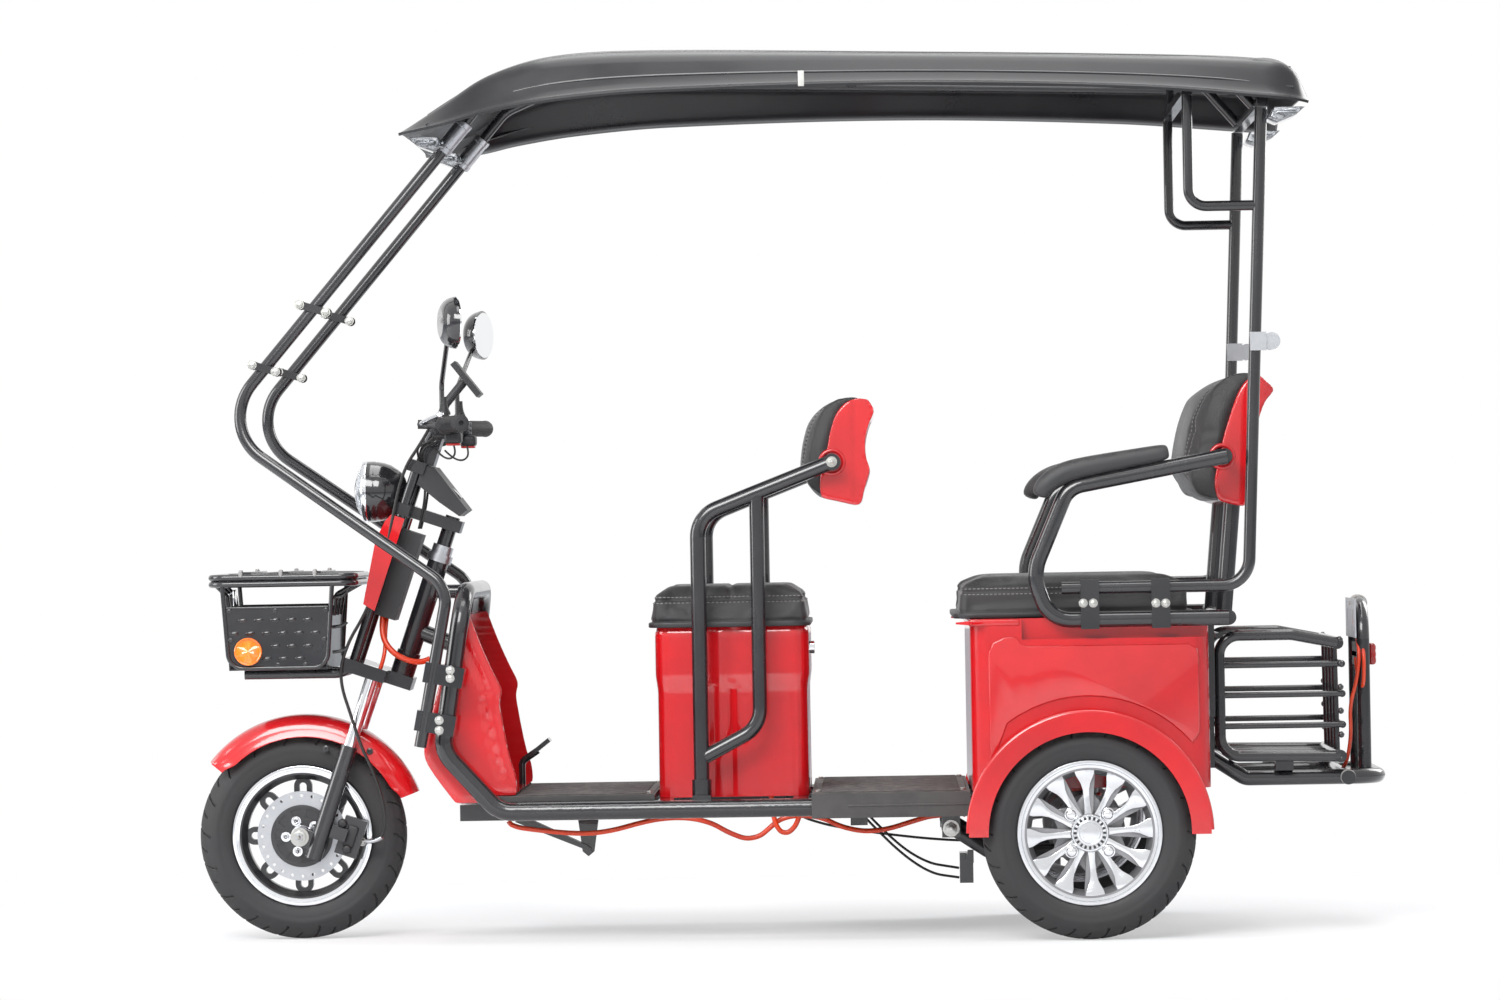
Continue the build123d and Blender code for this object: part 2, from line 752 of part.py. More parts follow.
# ---- Driver's seat ------------------------------------------------------
def driver_seat_box():
    """Hollow seat pedestal."""
    low = rail_top_z + seat_gap
    outer = box(seat_box_rear_x, seat_box_front_x, -seat_box_y, seat_box_y, low, seat_box_top_z)
    outer = fillet(outer.edges().filter_by(Axis.Z), 26)
    inner = box(
        seat_box_rear_x + panel_wall, seat_box_front_x - panel_wall,
        -seat_box_y + panel_wall, seat_box_y - panel_wall, low + panel_wall, seat_box_top_z + 1,
    )
    return outer - fillet(inner.edges().filter_by(Axis.Z), 22)


def driver_seat_cushion():
    """Driver's cushion on its base."""
    over = driver_cushion_overhang
    low = seat_box_top_z + seat_gap
    pad = box(seat_box_rear_x - 6, seat_box_front_x + over, -driver_cushion_y, driver_cushion_y,
              low, driver_cushion_top_z)
    pad = fillet(pad.edges().filter_by(Axis.Z), 40)
    return fillet(pad.faces().sort_by(Axis.Z)[-1].edges(), 22)


def driver_seat_frame():
    """Tubular side frames that carry the driver's backrest."""
    y = driver_arm_y
    first = tube(
        [(167, y, rail_top_z + 1), (167, y, 836), (62, y, 877), (-100, y, 939)], seat_tube_r, [60, 200]
    )
    second = tube([(50, y, 880), (50, y, 420), (160, y, 362)], seat_tube_r - 1, 60)
    socket = rod((167, y, rail_top_z + seat_gap), (167, y, rail_top_z + 38), seat_tube_r + 4)
    foot = box(149, 185, y - 20, y + 40, rail_top_z + seat_gap, rail_top_z + 8)
    boss = disc(-100, 939, 17, 212, y + 12)
    return both(first + second + socket + foot + boss)


def driver_backrest_shell():
    """Moulded shell behind the backrest pad."""
    outline = driver_back_seam + [
        (-173, 1062), (-181, 1050), (-185, 1037), (-175, 1015), (-168, 991), (-166, 966), (-169, 942),
        (-175, 924), (-169, 902), (-162, 879), (-158, 861), (-148, 853), (-124, 858), (-99, 864),
    ]
    return side_prism(outline, -211.7, 211.7)


def driver_backrest_pad():
    """Backrest cushion."""
    outline = driver_back_seam + [
        (-142, 1071), (-114, 1071.5), (-94, 1066), (-78, 1052), (-62, 1019), (-49, 974), (-43, 928),
        (-40, 897), (-46, 881), (-59, 871),
    ]
    return Pos(seat_gap, 0, seat_gap) * side_prism(outline, -205, 205)


# ---- Rear body ----------------------------------------------------------
def body_block(shrink):
    """Body outline as a solid, shrunk by a wall."""
    front = body_front_x - shrink
    rear = body_rear_x + shrink
    top = body_top_z + (1 if shrink else 0)
    low = body_bottom_z - (1 if shrink else 0)
    half = body_y - shrink
    block = box(rear, front, -half, half, low, top)
    block = fillet(block.edges().filter_by(Axis.Z), 36 - shrink)
    for side in (-1, 1):
        y_in = side * (armrest_y - 23 - shrink)
        y_out = side * 500
        block -= box(-900, -465 + shrink, min(y_in, y_out), max(y_in, y_out), 585 - shrink, 700)
    return block


def rear_body():
    """Hollow passenger body with wheel wells and flared arches."""
    well_r = tyre_od / 2 + arch_gap
    shell = body_block(0) - body_block(panel_wall)
    for side in (-1, 1):
        def span(a, b):
            return min(side * a, side * b), max(side * a, side * b)
        cut = disc(rear_axle_x, axle_z, well_r, *span(arch_inner_y + panel_wall, 500))
        shell -= cut
        drum = disc(rear_axle_x, axle_z, well_r + panel_wall, *span(arch_inner_y, arch_y))
        drum -= disc(rear_axle_x, axle_z, well_r, *span(arch_inner_y + panel_wall, arch_y - panel_wall))
        drum -= disc(rear_axle_x, axle_z, well_r + panel_wall - arch_lip, *span(arch_y - 10, arch_y + 1))
        drum -= box(-900, -300, -500, 500, -50, axle_z - 4)
        drum -= box(-900, -300, *span(0, body_y - 6), 0, body_bottom_z)
        shell += drum
        shell -= box(body_rear_x - 1, body_rear_x + panel_wall + 1, side * subframe_y - 24,
                     side * subframe_y + 24, body_bottom_z - 1, subframe_z + 22)
    return shell


def rear_seat_cushion():
    """Passenger cushion that closes the body."""
    pad = box(body_rear_x + 22, body_front_x + 34, -rear_seat_y, rear_seat_y,
              body_top_z + seat_gap, rear_seat_top_z)
    pad = fillet(pad.edges().filter_by(Axis.Z), 45)
    return fillet(pad.faces().sort_by(Axis.Z)[-1].edges(), 24)


def battery_pack():
    """Battery block on the rear subframe."""
    return box(-760, -440, -190, 190, subframe_z + 12 + seat_gap, 600)


def rear_seat_frame():
    """Armrest tubes, rear cross tube and backrest posts."""
    y = armrest_y
    arm = tube(
        [(-868, y, armrest_z), (-520, y, armrest_z), (-488, y, 712), (-560, y, 880), (-870, y, 936)],
        seat_tube_r, [60, 90, 50],
    )
    boss = rod((-866, y, 936), (-866, 268, 936), 15)
    cross = rod((-868, -y, armrest_z), (-868, y, armrest_z), seat_tube_r - 0.5)
    frame = Part() + both(arm) + both(boss) + cross + both(backrest_post(16))
    foot = box(-868, frame_end_x, subframe_y - 16, subframe_y + 16, armrest_z - 10, armrest_z)
    return frame + both(foot)


def backrest_post(radius):
    """Left post of the passenger backrest."""
    return rod((-868, 195, armrest_z), (-894, 195, 905), radius)


def armrest_pads():
    """Soft pads on the armrest tubes."""
    pad = tube([(-512, armrest_y, 868), (-560, armrest_y, 902), (-756, armrest_y, 938)], 19, 30)
    return both(pad - tube([(-488, armrest_y, 712), (-560, armrest_y, 880), (-870, armrest_y, 936)],
                           seat_tube_r + 0.3, 50))


def rear_backrest_pad():
    """Passenger backrest cushion."""
    outline = rear_back_seam + [
        (-910, 1109), (-888, 1108), (-868, 1101), (-853, 1088), (-838, 1065), (-824, 1038), (-810, 1000),
        (-800, 955), (-794, 915), (-792, 880), (-798, 860), (-812, 849), (-838, 845),
    ]
    return side_prism(outline, -262, 262)


def rear_backrest_shell():
    """Moulded shell behind the passenger backrest."""
    outline = rear_back_seam + [
        (-945, 1093), (-957, 1081), (-971, 1065), (-955, 1046), (-942, 1016), (-933, 977), (-930, 938),
        (-931, 899), (-930, 865), (-921, 846), (-905, 838), (-882, 842),
    ]
    shell = Pos(-0.4, 0, 0) * side_prism(outline, -267.7, 267.7)
    return shell - both(backrest_post(16 + seat_gap))


# ---- Rear axle ----------------------------------------------------------
def rear_axle():
    """Axle housing with motor, differential, drums and wheel stubs."""
    inner_y = rear_wheel_y - 44
    housing = disc(rear_axle_x, axle_z, 28, -inner_y, inner_y)
    housing += disc(rear_axle_x, axle_z, 78, -60, 40)
    housing += disc(rear_axle_x + 20, axle_z + 6, 62, 30, 118)
    for side in (-1, 1):
        low, high = sorted((side * (inner_y - 34), side * inner_y))
        housing += disc(rear_axle_x, axle_z, 72, low, high)
        low, high = sorted((side * inner_y, side * (rear_wheel_y + 20)))
        housing += disc(rear_axle_x, axle_z, rear_stub_r, low, high)
    return housing


def rear_suspension():
    """Trailing arms from the frame to the axle, and the coil spring units."""
    y = 150.0
    arm = tube([(pivot_x, y, pivot_z), (-400, y, 160), (rear_axle_x + 10, y, axle_z - 46)], 14, 30)
    arm += disc(pivot_x, pivot_z, pivot_r + 5, y - 15, 170 - seat_gap)
    arm += box(rear_axle_x - 30, rear_axle_x + 40, y - 16, y + 16, axle_z - 60,
               axle_z - 28 - seat_gap)
    shaft = disc(pivot_x, pivot_z, pivot_r, -194, 194)
    low = axle_z + 28 + seat_gap
    high = subframe_z - subframe_r - seat_gap
    unit = rod((rear_axle_x, subframe_y - 14, low), (rear_axle_x, subframe_y - 14, high - 2), 10)
    unit += rod((rear_axle_x, subframe_y - 14, low + 30), (rear_axle_x, subframe_y - 14, high - 30), 24)
    return Part() + both(arm) + shaft + both(unit)


# ---- Canopy -------------------------------------------------------------
def canopy_front_tubes():
    """Front canopy supports from the hoop up to the roof."""
    path = [(715, 322, 394), (655, 322, 705), front_support_elbow, front_support_top]
    return both(tube(path, canopy_tube_r, [60, 100]))


def canopy_brackets():
    """Bolted plates across the front tubes, and the sleeves that join them to the roof."""
    along = (front_support_top - front_support_elbow).normalized()
    across = Vector(cos(radians(bracket_tilt)), 0, sin(radians(bracket_tilt)))
    parts = []
    for share, reach in ((0.405, 27.0), (0.2, 24.0)):
        centre = front_support_elbow + (front_support_top - front_support_elbow) * share
        low, high = centre - across * reach, centre + across * reach
        for side in (-1, 1):
            off = Vector(0, side * (canopy_tube_r + 2 + seat_gap), 0)
            plate = rod(low + off - Vector(0, 2, 0), low + off + Vector(0, 2, 0), 9)
            plate += rod(high + off - Vector(0, 2, 0), high + off + Vector(0, 2, 0), 9)
            centre_line = Plane(origin=centre + off, x_dir=across, z_dir=(0, 1, 0))
            plate += centre_line * Box(2 * reach, 15, 4)
            parts.append(plate)
        for end in (low, high):
            parts.append(rod(end - Vector(0, canopy_tube_r + 7, 0), end + Vector(0, canopy_tube_r + 7, 0), 3.5))
    joined = Part() + parts
    sleeve_low = front_support_top - along * 42
    sleeve = rod(sleeve_low, front_support_top + along * 34, canopy_tube_r + 3.5)
    sleeve -= rod(sleeve_low - along, front_support_top + along * 40, canopy_tube_r + seat_gap)
    return both(joined) + both(sleeve)


def canopy_post(radius):
    """Left rear post with its forward run along the armrest tube."""
    y = post_y
    return tube(
        [(-544, y, canopy_low_z), (-908, y, canopy_low_z), (post_top_x, y, post_top_z)], radius, 54
    )


def canopy_rear_posts():
    """Rear canopy posts with their inner grab handles."""
    y = post_y
    post = canopy_post(canopy_tube_r)
    handle = tube([(handle_x, y, handle_top_z - seat_gap), (handle_x, y, 1423), (-942, y, 1423)], 10, 34)
    return both(post + handle)


def canopy_clamps():
    """Clamp plates that hold the canopy tubes."""
    parts = []
    for x in (-598.0, -736.0):
        block = box(x - 18, x + 18, post_y - 14, post_y + 19, armrest_z - 18, canopy_low_z + 16)
        block -= rod((x - 20, armrest_y, armrest_z), (x + 20, armrest_y, armrest_z), seat_tube_r + 0.3)
        block -= rod((x - 20, post_y, canopy_low_z), (x + 20, post_y, canopy_low_z), canopy_tube_r + 0.3)
        parts.append(block)
    lean = degrees(atan2(60, 311))
    for z in (440.0, 534.0):
        tube_x = 715 - (z - 394) * 60 / 311
        block = Location((tube_x - 22, 310, z), (0, -lean, 0)) * Box(78, 46, 40)
        block -= tube([(715, 322, 394), (655, 322, 705), (1113, 240, 1030)], canopy_tube_r + 0.3, 60)
        block -= tube([(hoop_x(696), rail_y, 696), (675, rail_y, 384), (565, rail_y, 262)], rail_r + 0.3, 60)
        parts.append(block)
    left = Part() + parts
    return both(left)


def roof_section(x, edge_z, crown_z, half, shoulder):
    """Thin hat-shaped section of the roof at one station."""
    rise = crown_z - edge_z
    upper = [
        (half, edge_z), (half - roof_brim, edge_z + 0.08 * rise), (half - roof_wall_in, edge_z + 0.7 * rise),
        (shoulder, edge_z + 0.9 * rise), (0, crown_z),
    ]
    outer = [(-y, z) for y, z in upper[:-1]] + list(reversed(upper))
    inner = [(y, z - roof_thickness) for y, z in reversed(outer)]
    return Polyline(*[(x, y, z) for y, z in outer + inner], close=True)


def roof_panel():
    """Moulded roof with a raised centre and a brim."""
    faces = [make_face(roof_section(*row)) for row in roof_stations]
    return loft(faces, ruled=True)


def roof_underside(x):
    """Height of the roof's underside above the frame rails at x."""
    for front, rear in zip(roof_stations, roof_stations[1:]):
        if rear[0] <= x <= front[0]:
            heights = []
            for _, edge_z, crown_z, _, shoulder in (front, rear):
                heights.append(crown_z - 0.1 * (crown_z - edge_z) * roof_rail_y / shoulder)
            share = (front[0] - x) / (front[0] - rear[0])
            return heights[0] + share * (heights[1] - heights[0]) - roof_thickness
    raise ValueError("x lies off the roof")


def roof_frame():
    """Tubes under the roof that join the front supports and rear posts."""
    y = roof_rail_y
    drop = roof_rail_r + 2 * seat_gap
    lean = (front_support_top - front_support_elbow).normalized()
    start = front_support_top + lean * seat_gap
    points = [start, start + lean * 105]
    for x in (435.0, 236.0, -246.0, -700.0, -870.0):
        points.append(Vector(x, y, roof_underside(x) - drop))
    points.append(Vector(post_top_x + 8, y, post_top_z + 12))
    rail = tube(points, roof_rail_r, [70, 60, 60, 60, 60, 40])
    bars = []
    for x in (430.0, -150.0):
        top = roof_underside(x) - 6
        bars.append(box(x - 10, x + 10, -y - 40, y + 40, top - 16, top))
    bars.append(box(handle_x - 10, handle_x + 10, -post_y - 14, post_y + 14, handle_top_z, handle_top_z + 18))
    bars.append(box(post_top_x - 12, post_top_x + 8, -post_y - 14, post_y + 14, post_top_z + 3 * seat_gap,
                    post_top_z + 20))
    for side in (-1, 1):
        bars.append(rod((handle_x, side * y, handle_top_z + 9),
                        (handle_x, side * y, roof_underside(handle_x) - drop), 8))
    return Part() + both(rail) + bars


def turn_signals():
    """Rear indicators clamped on the canopy posts."""
    x = post_top_x + 14
    clamp = box(x - 16, x + 16, post_y - 16, post_y + 16, 1140, 1176)
    clamp += disc(x - 26, 1158, 17, post_y - 14, post_y + 14)
    return both(clamp - canopy_post(canopy_tube_r + seat_gap))


# ---- Rear rack ----------------------------------------------------------
def rear_rack():
    """Open luggage basket of bent tubes."""
    side = tube(
        [(-1090, rack_y, 565), (-1000, rack_y, 583), (rack_front_x, rack_y, 583),
         (rack_front_x, rack_y, 345),
         (-1093, rack_y, 342)],
        rack_tube_r, [60, 40, 40],
    )
    for z in (524.0, 465.0, 404.0):
        side += rod((-860, rack_y, z), (-1100, rack_y, z), rack_bar_r)
    rack = Part() + both(side)
    rack += rod((-1093, -rack_y - 10, 342), (-1093, rack_y + 10, 342), rack_tube_r + 1)
    rack += rod((-1090, -rack_y - 8, 565), (-1090, rack_y + 8, 565), rack_tube_r + 1)
    for y in (-120.0, -40.0, 40.0, 120.0):
        rack += rod((-1093, y, 342), (-890, y, 344), rack_bar_r)
        rack += rod((-1093, y, 342), (-1090, y, 565), rack_bar_r)
    rack += rod((-888, -rack_y, 344), (-888, rack_y, 344), rack_bar_r + 1)
    for z in (404.0, 465.0, 524.0, 583.0):
        rack += rod((rack_front_x, -rack_y, z), (rack_front_x, rack_y, z), rack_bar_r)
    for z in (404.0, 465.0, 524.0):
        rack += rod((-1098, -rack_y - 4, z), (-1098, rack_y + 4, z), rack_bar_r + 1)
    rack += both(box(-1000, -965, bumper_y - 6, rack_y + 4, bumper_z + bumper_r + seat_gap, 338))
    return rack


def rear_bumper():
    """U-shaped bumper tube with the rear guard hoop and its posts."""
    y = bumper_y
    half = [(bumper_end_x + bumper_r, y, bumper_z), (-906, y, bumper_z), (-830, y, 350)]
    points = [(px, -py, pz) for px, py, pz in reversed(half)] + half
    bumper = tube(points, bumper_r, [30, 60, 60, 30])
    limit = frame_end_x - frame_end_thickness - seat_gap
    bumper -= box(limit, limit + 60, -250, 250, 300, 400)
    bumper += rod((-1107, -rack_y - 16, bumper_z), (-1107, rack_y + 16, bumper_z), 14)
    low = bumper_z - 4
    bumper += tube([(-1150, 95, low), (-1150, 95, 640), (-1150, -95, 640), (-1150, -95, low)], 13, 70)
    return bumper + box(-1165, -1120, -112, 112, bumper_z - 12, bumper_z + 8)


def tail_lamp():
    """Rear lamp block on the guard hoop."""
    lamp = box(-1178, -1142, -70, 70, 515, 562)
    return lamp + box(-1156, -1142, -81.7, 81.7, 530, 546)


# ---- Under the floor ----------------------------------------------------
def underfloor_linkage():
    """Brake linkage arm on its hanger, a lead clip and the brake's cable stop."""
    y = -60.0
    hanger = side_prism([(380, rail_top_z - seat_gap), (436, rail_top_z - seat_gap), (421, 162),
                         (409, 152), (397, 162)], y - 3, y + 3)
    pin = disc(409, 166, 6, y - 16, y + 16)
    arm = side_prism([(400, 160), (409, 174), (540, 236), (556, 236), (556, 224)], y + 7, y + 12)
    arm += side_prism([(400, 160), (409, 174), (540, 236), (556, 236), (556, 224)], y - 12, y - 7)
    arm += box(548, 556, y - 12, y + 12, 226, 240 - seat_gap)
    clip = box(-158, -124, 118, 122, 216, rail_top_z - seat_gap)
    clip += box(-158, -124, 104, 136, rail_top_z - 5, rail_top_z - seat_gap)
    return [hanger + pin + arm, clip]


def cable_stop():
    """Block below the left swing arm where the brake cables end."""
    y = 66.0
    x_low, x_high = pivot_x - 44, pivot_x - 17
    block = box(x_low, x_high, y - 26, y + 26, 96, 156)
    block += box(x_low, x_low + 14, y + 20, 160, 140, 156)
    return block + box(x_low, x_low + 12, 140, 160, 150, 165)


def held_lead(points, radius, name):
    """Clipped lead whose bends are as large as their two runs allow."""
    points = [Vector(*point) for point in points]
    radii = []
    for before, here, after in zip(points, points[1:], points[2:]):
        turn = (here - before).get_angle(after - here)
        shorter = min((here - before).length, (after - here).length)
        radii.append(0.45 * shorter / tan(radians(turn / 2)))
    lead = tube(points, radius, radii)
    length = FilletPolyline(*points, radius=radii).length
    print(name, "length", round(length), "bends", [round(r) for r in radii],
          "volume ratio", round(lead.volume / (pi * radius**2 * length), 4))
    return lead


def wiring_conduits():
    """Corrugated conduits that sag between the floor's cross members."""
    main = held_lead(
        [(556, 150, 237), (551, 151, 230), (535, 152, 224), (508, 153, 220), (470, 153, 215),
         (430, 152, 211), (390, 151, 210), (345, 150, 216), (300, 150, 228), (262, 150, 236),
         (222, 149, 239), (185, 149, 236), (150, 150, 226), (118, 151, 207), (84, 152, 194),
         (56, 151, 199), (36, 150, 216), (18, 149, 231), (-6, 149, 238), (-38, 149, 239),
         (-70, 149, 233), (-106, 150, 215), (-150, 151, 205), (-198, 151, 209), (-244, 150, 223),
         (-280, 149, 233), (-304, 148, 235), (-321, 148, 238), (-330, 148, 246.4)],
        conduit_r, "main conduit",
    )
    branch = held_lead(
        [(-24, 172, 249), (-22, 172, 236), (-14, 172, 218), (0, 172, 206), (14, 172, 208),
         (24, 172, 222), (29, 172, 244), (31, 172, 262), (32, 172, 279.7)],
        conduit_r, "branch conduit",
    )
    return [main, branch]


def brake_cables():
    """Cables from under the passenger floor to the cable stop and the axle."""
    face = pivot_x - 17 + 3 * seat_gap
    upper = held_lead(
        [(-128, 56, 279), (-134, 56, 266), (-146, 56, 249), (-163, 57, 229), (-186, 57, 205),
         (-211, 58, 181), (-236, 58, 160), (-262, 58, 144), (-287, 58, 133), (face, 58, 124)],
        lead_r, "upper brake cable",
    )
    lower = held_lead(
        [(-118, 74, 278.9), (-126, 74, 264), (-140, 74, 244), (-160, 74, 221), (-186, 75, 194),
         (-212, 75, 168), (-240, 75, 144), (-268, 75, 125), (-294, 75, 113), (face, 75, 106)],
        lead_r, "lower brake cable",
    )
    rod_cable = held_lead(
        [(6, 30, 279.5), (3, 30, 262), (-7, 30, 243), (-32, 30, 227), (-72, 30, 214), (-124, 29, 203),
         (-174, 28, 195.5), (-224, 27, 188.5), (-274, 26, 182.5), (-324, 24, 178), (-374, 22, 176),
         (-424, 21, 178), (-470, 20, 184), (-513.2, 20, 192)],
        lead_r, "axle brake cable",
    )
    return [upper, lower, rod_cable]


def plate_bracket():
    """Slotted number plate bracket between the guard hoop's posts."""
    x = -1137.0 + seat_gap
    sheet = box(x, x + 3, -104, 104, 572, 650)
    for y in (-60.0, -20.0, 20.0, 60.0):
        sheet -= box(x - 1, x + 4, y - 4, y + 4, 590, 628)
    for y in (-75.0, 75.0):
        sheet -= Pos(x, y, 640) * Rot(0, 90, 0) * Cylinder(3.3, 20)
    return sheet


def write(name, shape):
    """Write one node's solids to its STEP file."""
    if isinstance(shape, list):
        shape = Part() + shape
    export_step(shape, os.path.join("parts", name + ".step"))


front_hub = Pos(front_axle_x, 0, axle_z)
left_hub = Pos(rear_axle_x, rear_wheel_y, axle_z)
os.makedirs("parts", exist_ok=True)
left_rim = left_hub * rear_rim()
nodes = {
    "front_tyre": front_hub * tyre(front_tyre_width),
    "front_rim": front_hub * front_rim(),
    "brake_disc": front_hub * brake_disc(),
    "rear_tyre_left": left_hub * tyre(rear_tyre_width),
    "rear_tyre_right": right_of(left_hub * tyre(rear_tyre_width)),
    "rear_rim_left": left_rim,
    "rear_rim_right": right_of(left_rim),
    "front_axle": front_axle(),
    "fork_lowers": fork_lowers(),
    "fork_stanchions": fork_stanchions(),
    "fork_crown": fork_crown() + fork_uprights(),
    "headset_nuts": headset_nuts(),
    "front_fender": front_fender(),
    "brake_caliper": brake_caliper(),
    "basket": basket(),
    "basket_lid": basket_lid(),
    "side_reflectors": side_reflectors(),
    "headlight_housing": headlight_housing(),
    "headlight_lens": headlight_lens(),
    "front_panel": front_panel(),
    "controller_box": controller_box(),
    "dashboard": dashboard(),
    "handlebar": handlebar(),
    "grips": grips(),
    "hand_controls": hand_controls() + [phone_holder()],
    "mirror_shells": mirror_shells(),
    "mirror_glass": mirror_glass(),
    "main_frame": main_frame(),
    "leg_shield": leg_shield(),
    "footboards": [front_floor(), rear_floor()],
    "brake_pedal": brake_pedal(),
    "driver_seat_box": driver_seat_box(),
    "driver_seat_cushion": driver_seat_cushion(),
    "driver_seat_frame": driver_seat_frame(),
    "driver_backrest_shell": driver_backrest_shell(),
    "driver_backrest_pad": driver_backrest_pad(),
    "rear_body": rear_body(),
    "rear_seat_cushion": rear_seat_cushion(),
    "battery_pack": battery_pack(),
    "rear_seat_frame": rear_seat_frame(),
    "armrest_pads": armrest_pads(),
    "rear_backrest_pad": rear_backrest_pad(),
    "rear_backrest_shell": rear_backrest_shell(),
    "rear_axle": rear_axle(),
    "rear_suspension": rear_suspension(),
    "underfloor_linkage": underfloor_linkage() + [cable_stop()],
    "wiring_conduits": wiring_conduits(),
    "brake_cables": brake_cables(),
    "canopy_front_tubes": canopy_front_tubes(),
    "canopy_rear_posts": canopy_rear_posts(),
    "canopy_brackets": canopy_brackets(),
    "canopy_clamps": canopy_clamps(),
    "roof_panel": roof_panel(),
    "roof_frame": roof_frame(),
    "turn_signals": turn_signals(),
    "rear_rack": rear_rack(),
    "rear_bumper": rear_bumper(),
    "tail_lamp": tail_lamp(),
    "plate_bracket": plate_bracket(),
}
for name, shape in nodes.items():
    write(name, shape)
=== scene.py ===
# %% [markdown]
# This lesson dresses an electric passenger tricycle. Its solids come packed, in metres, with +X forward and
# +Z up, and they stay where they are. Each cell makes one piece or one finish, and says why it is made so.

# %% Load the solids
from math import atan2, copysign, cos, degrees, hypot, pi, radians, sin, tan

import bmesh
import bpy
from mathutils import Matrix, Quaternion, Vector


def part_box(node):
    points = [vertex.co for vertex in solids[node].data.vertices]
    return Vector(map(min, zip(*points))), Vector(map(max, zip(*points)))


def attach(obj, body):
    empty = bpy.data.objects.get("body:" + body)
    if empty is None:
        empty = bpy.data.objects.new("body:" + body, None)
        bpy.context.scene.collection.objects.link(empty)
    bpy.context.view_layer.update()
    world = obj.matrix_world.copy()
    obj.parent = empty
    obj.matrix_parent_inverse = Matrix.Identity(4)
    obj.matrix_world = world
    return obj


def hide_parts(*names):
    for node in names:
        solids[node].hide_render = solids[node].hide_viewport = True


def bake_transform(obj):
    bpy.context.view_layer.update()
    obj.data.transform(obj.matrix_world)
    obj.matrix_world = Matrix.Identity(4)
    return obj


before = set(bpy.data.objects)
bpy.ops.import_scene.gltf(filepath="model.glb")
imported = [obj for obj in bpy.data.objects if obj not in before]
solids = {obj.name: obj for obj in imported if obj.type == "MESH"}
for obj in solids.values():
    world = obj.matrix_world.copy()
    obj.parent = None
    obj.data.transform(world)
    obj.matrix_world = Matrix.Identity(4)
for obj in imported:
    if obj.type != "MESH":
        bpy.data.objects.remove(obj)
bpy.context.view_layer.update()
scene = bpy.context.scene

# %% [markdown]
# Places that many pieces share come from the solids, so that a piece still fits when a solid changes.
# A wheel's centre is the middle of its tyre's box.

# %% Shared places
def middle(node):
    """Middle of a solid's box."""
    low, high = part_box(node)
    return (low + high) / 2


front_hub = middle("front_tyre")
left_hub = middle("rear_tyre_left")
right_hub = middle("rear_tyre_right")
tyre_radius = (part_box("front_tyre")[1].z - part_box("front_tyre")[0].z) / 2
RAKE = radians(19)
steer_up = Vector((-sin(RAKE), 0, cos(RAKE)))
steer_ahead = Vector((cos(RAKE), 0, sin(RAKE)))
axle_ahead = 0.088


def steer(up, ahead, side=0):
    """Point in the steering's own frame: along its axis, ahead of the axis, to the left."""
    return front_hub + steer_up * up + steer_ahead * (ahead - axle_ahead) + Vector((0, side, 0))


print("front hub", front_hub, "left hub", left_hub)

# %% [markdown]
# Five effects come back in many finishes: a fine grain, slow cloudy variation, dust on faces that look up,
# fine scratches, and the pebbled grain of leather. Each is a node group with named sockets, built once,
# so that every finish can place it with its own values. Groups give out masks and heights only.

# %% Node group helpers
def new_group(name, inputs, outputs):
    """Shader node group with float or vector sockets; a number given is the input's default."""
    group = bpy.data.node_groups.new(name, "ShaderNodeTree")
    for label, default in inputs:
        kind = "NodeSocketVector" if default is None else "NodeSocketFloat"
        socket = group.interface.new_socket(label, in_out="INPUT", socket_type=kind)
        if default is not None:
            socket.default_value = default
    for label in outputs:
        group.interface.new_socket(label, in_out="OUTPUT", socket_type="NodeSocketFloat")
    return group, group.nodes.new("NodeGroupInput"), group.nodes.new("NodeGroupOutput")


def add_node(tree, kind, links=None, **settings):
    """Shader node: links gives its inputs sockets or plain values, settings are its own properties."""
    made = tree.nodes.new("ShaderNode" + kind)
    for label, value in settings.items():
        setattr(made, label, value)
    for label, value in (links or {}).items():
        if isinstance(value, bpy.types.NodeSocket):
            tree.links.new(value, made.inputs[label])
        else:
            made.inputs[label].default_value = value
    return made


def maths(tree, operation, first, second=0.5, clamp=False):
    """Math node whose inputs are sockets or numbers; gives its output socket."""
    return add_node(tree, "Math", {0: first, 1: second}, operation=operation, use_clamp=clamp).outputs[0]


def noise(tree, vector, scale, detail=3, rough=0.5):
    """Noise texture; scale may be a socket."""
    return add_node(tree, "TexNoise", {"Detail": detail, "Roughness": rough, "Vector": vector,
        "Scale": scale}).outputs["Fac"]


def remap(tree, value, low, high, new_low=0, new_high=1):
    """Map Range node, clamped."""
    return add_node(tree, "MapRange", {"Value": value, "From Min": low, "From Max": high, "To Min": new_low,
        "To Max": new_high}).outputs["Result"]


# %% The groups: grain, clouds, dust, scratches, leather
grain_group, source, sink = new_group("fine_grain", [("Vector", None), ("Scale", 900)], ["Height"])
fine = noise(grain_group, source.outputs["Vector"], source.outputs["Scale"], 4)
grain_group.links.new(fine, sink.inputs["Height"])

cloud_group, source, sink = new_group("clouds", [("Vector", None), ("Scale", 6)], ["Mask"])
broad = noise(cloud_group, source.outputs["Vector"], source.outputs["Scale"], 5, 0.6)
cloud_group.links.new(remap(cloud_group, broad, 0.32, 0.68), sink.inputs["Mask"])

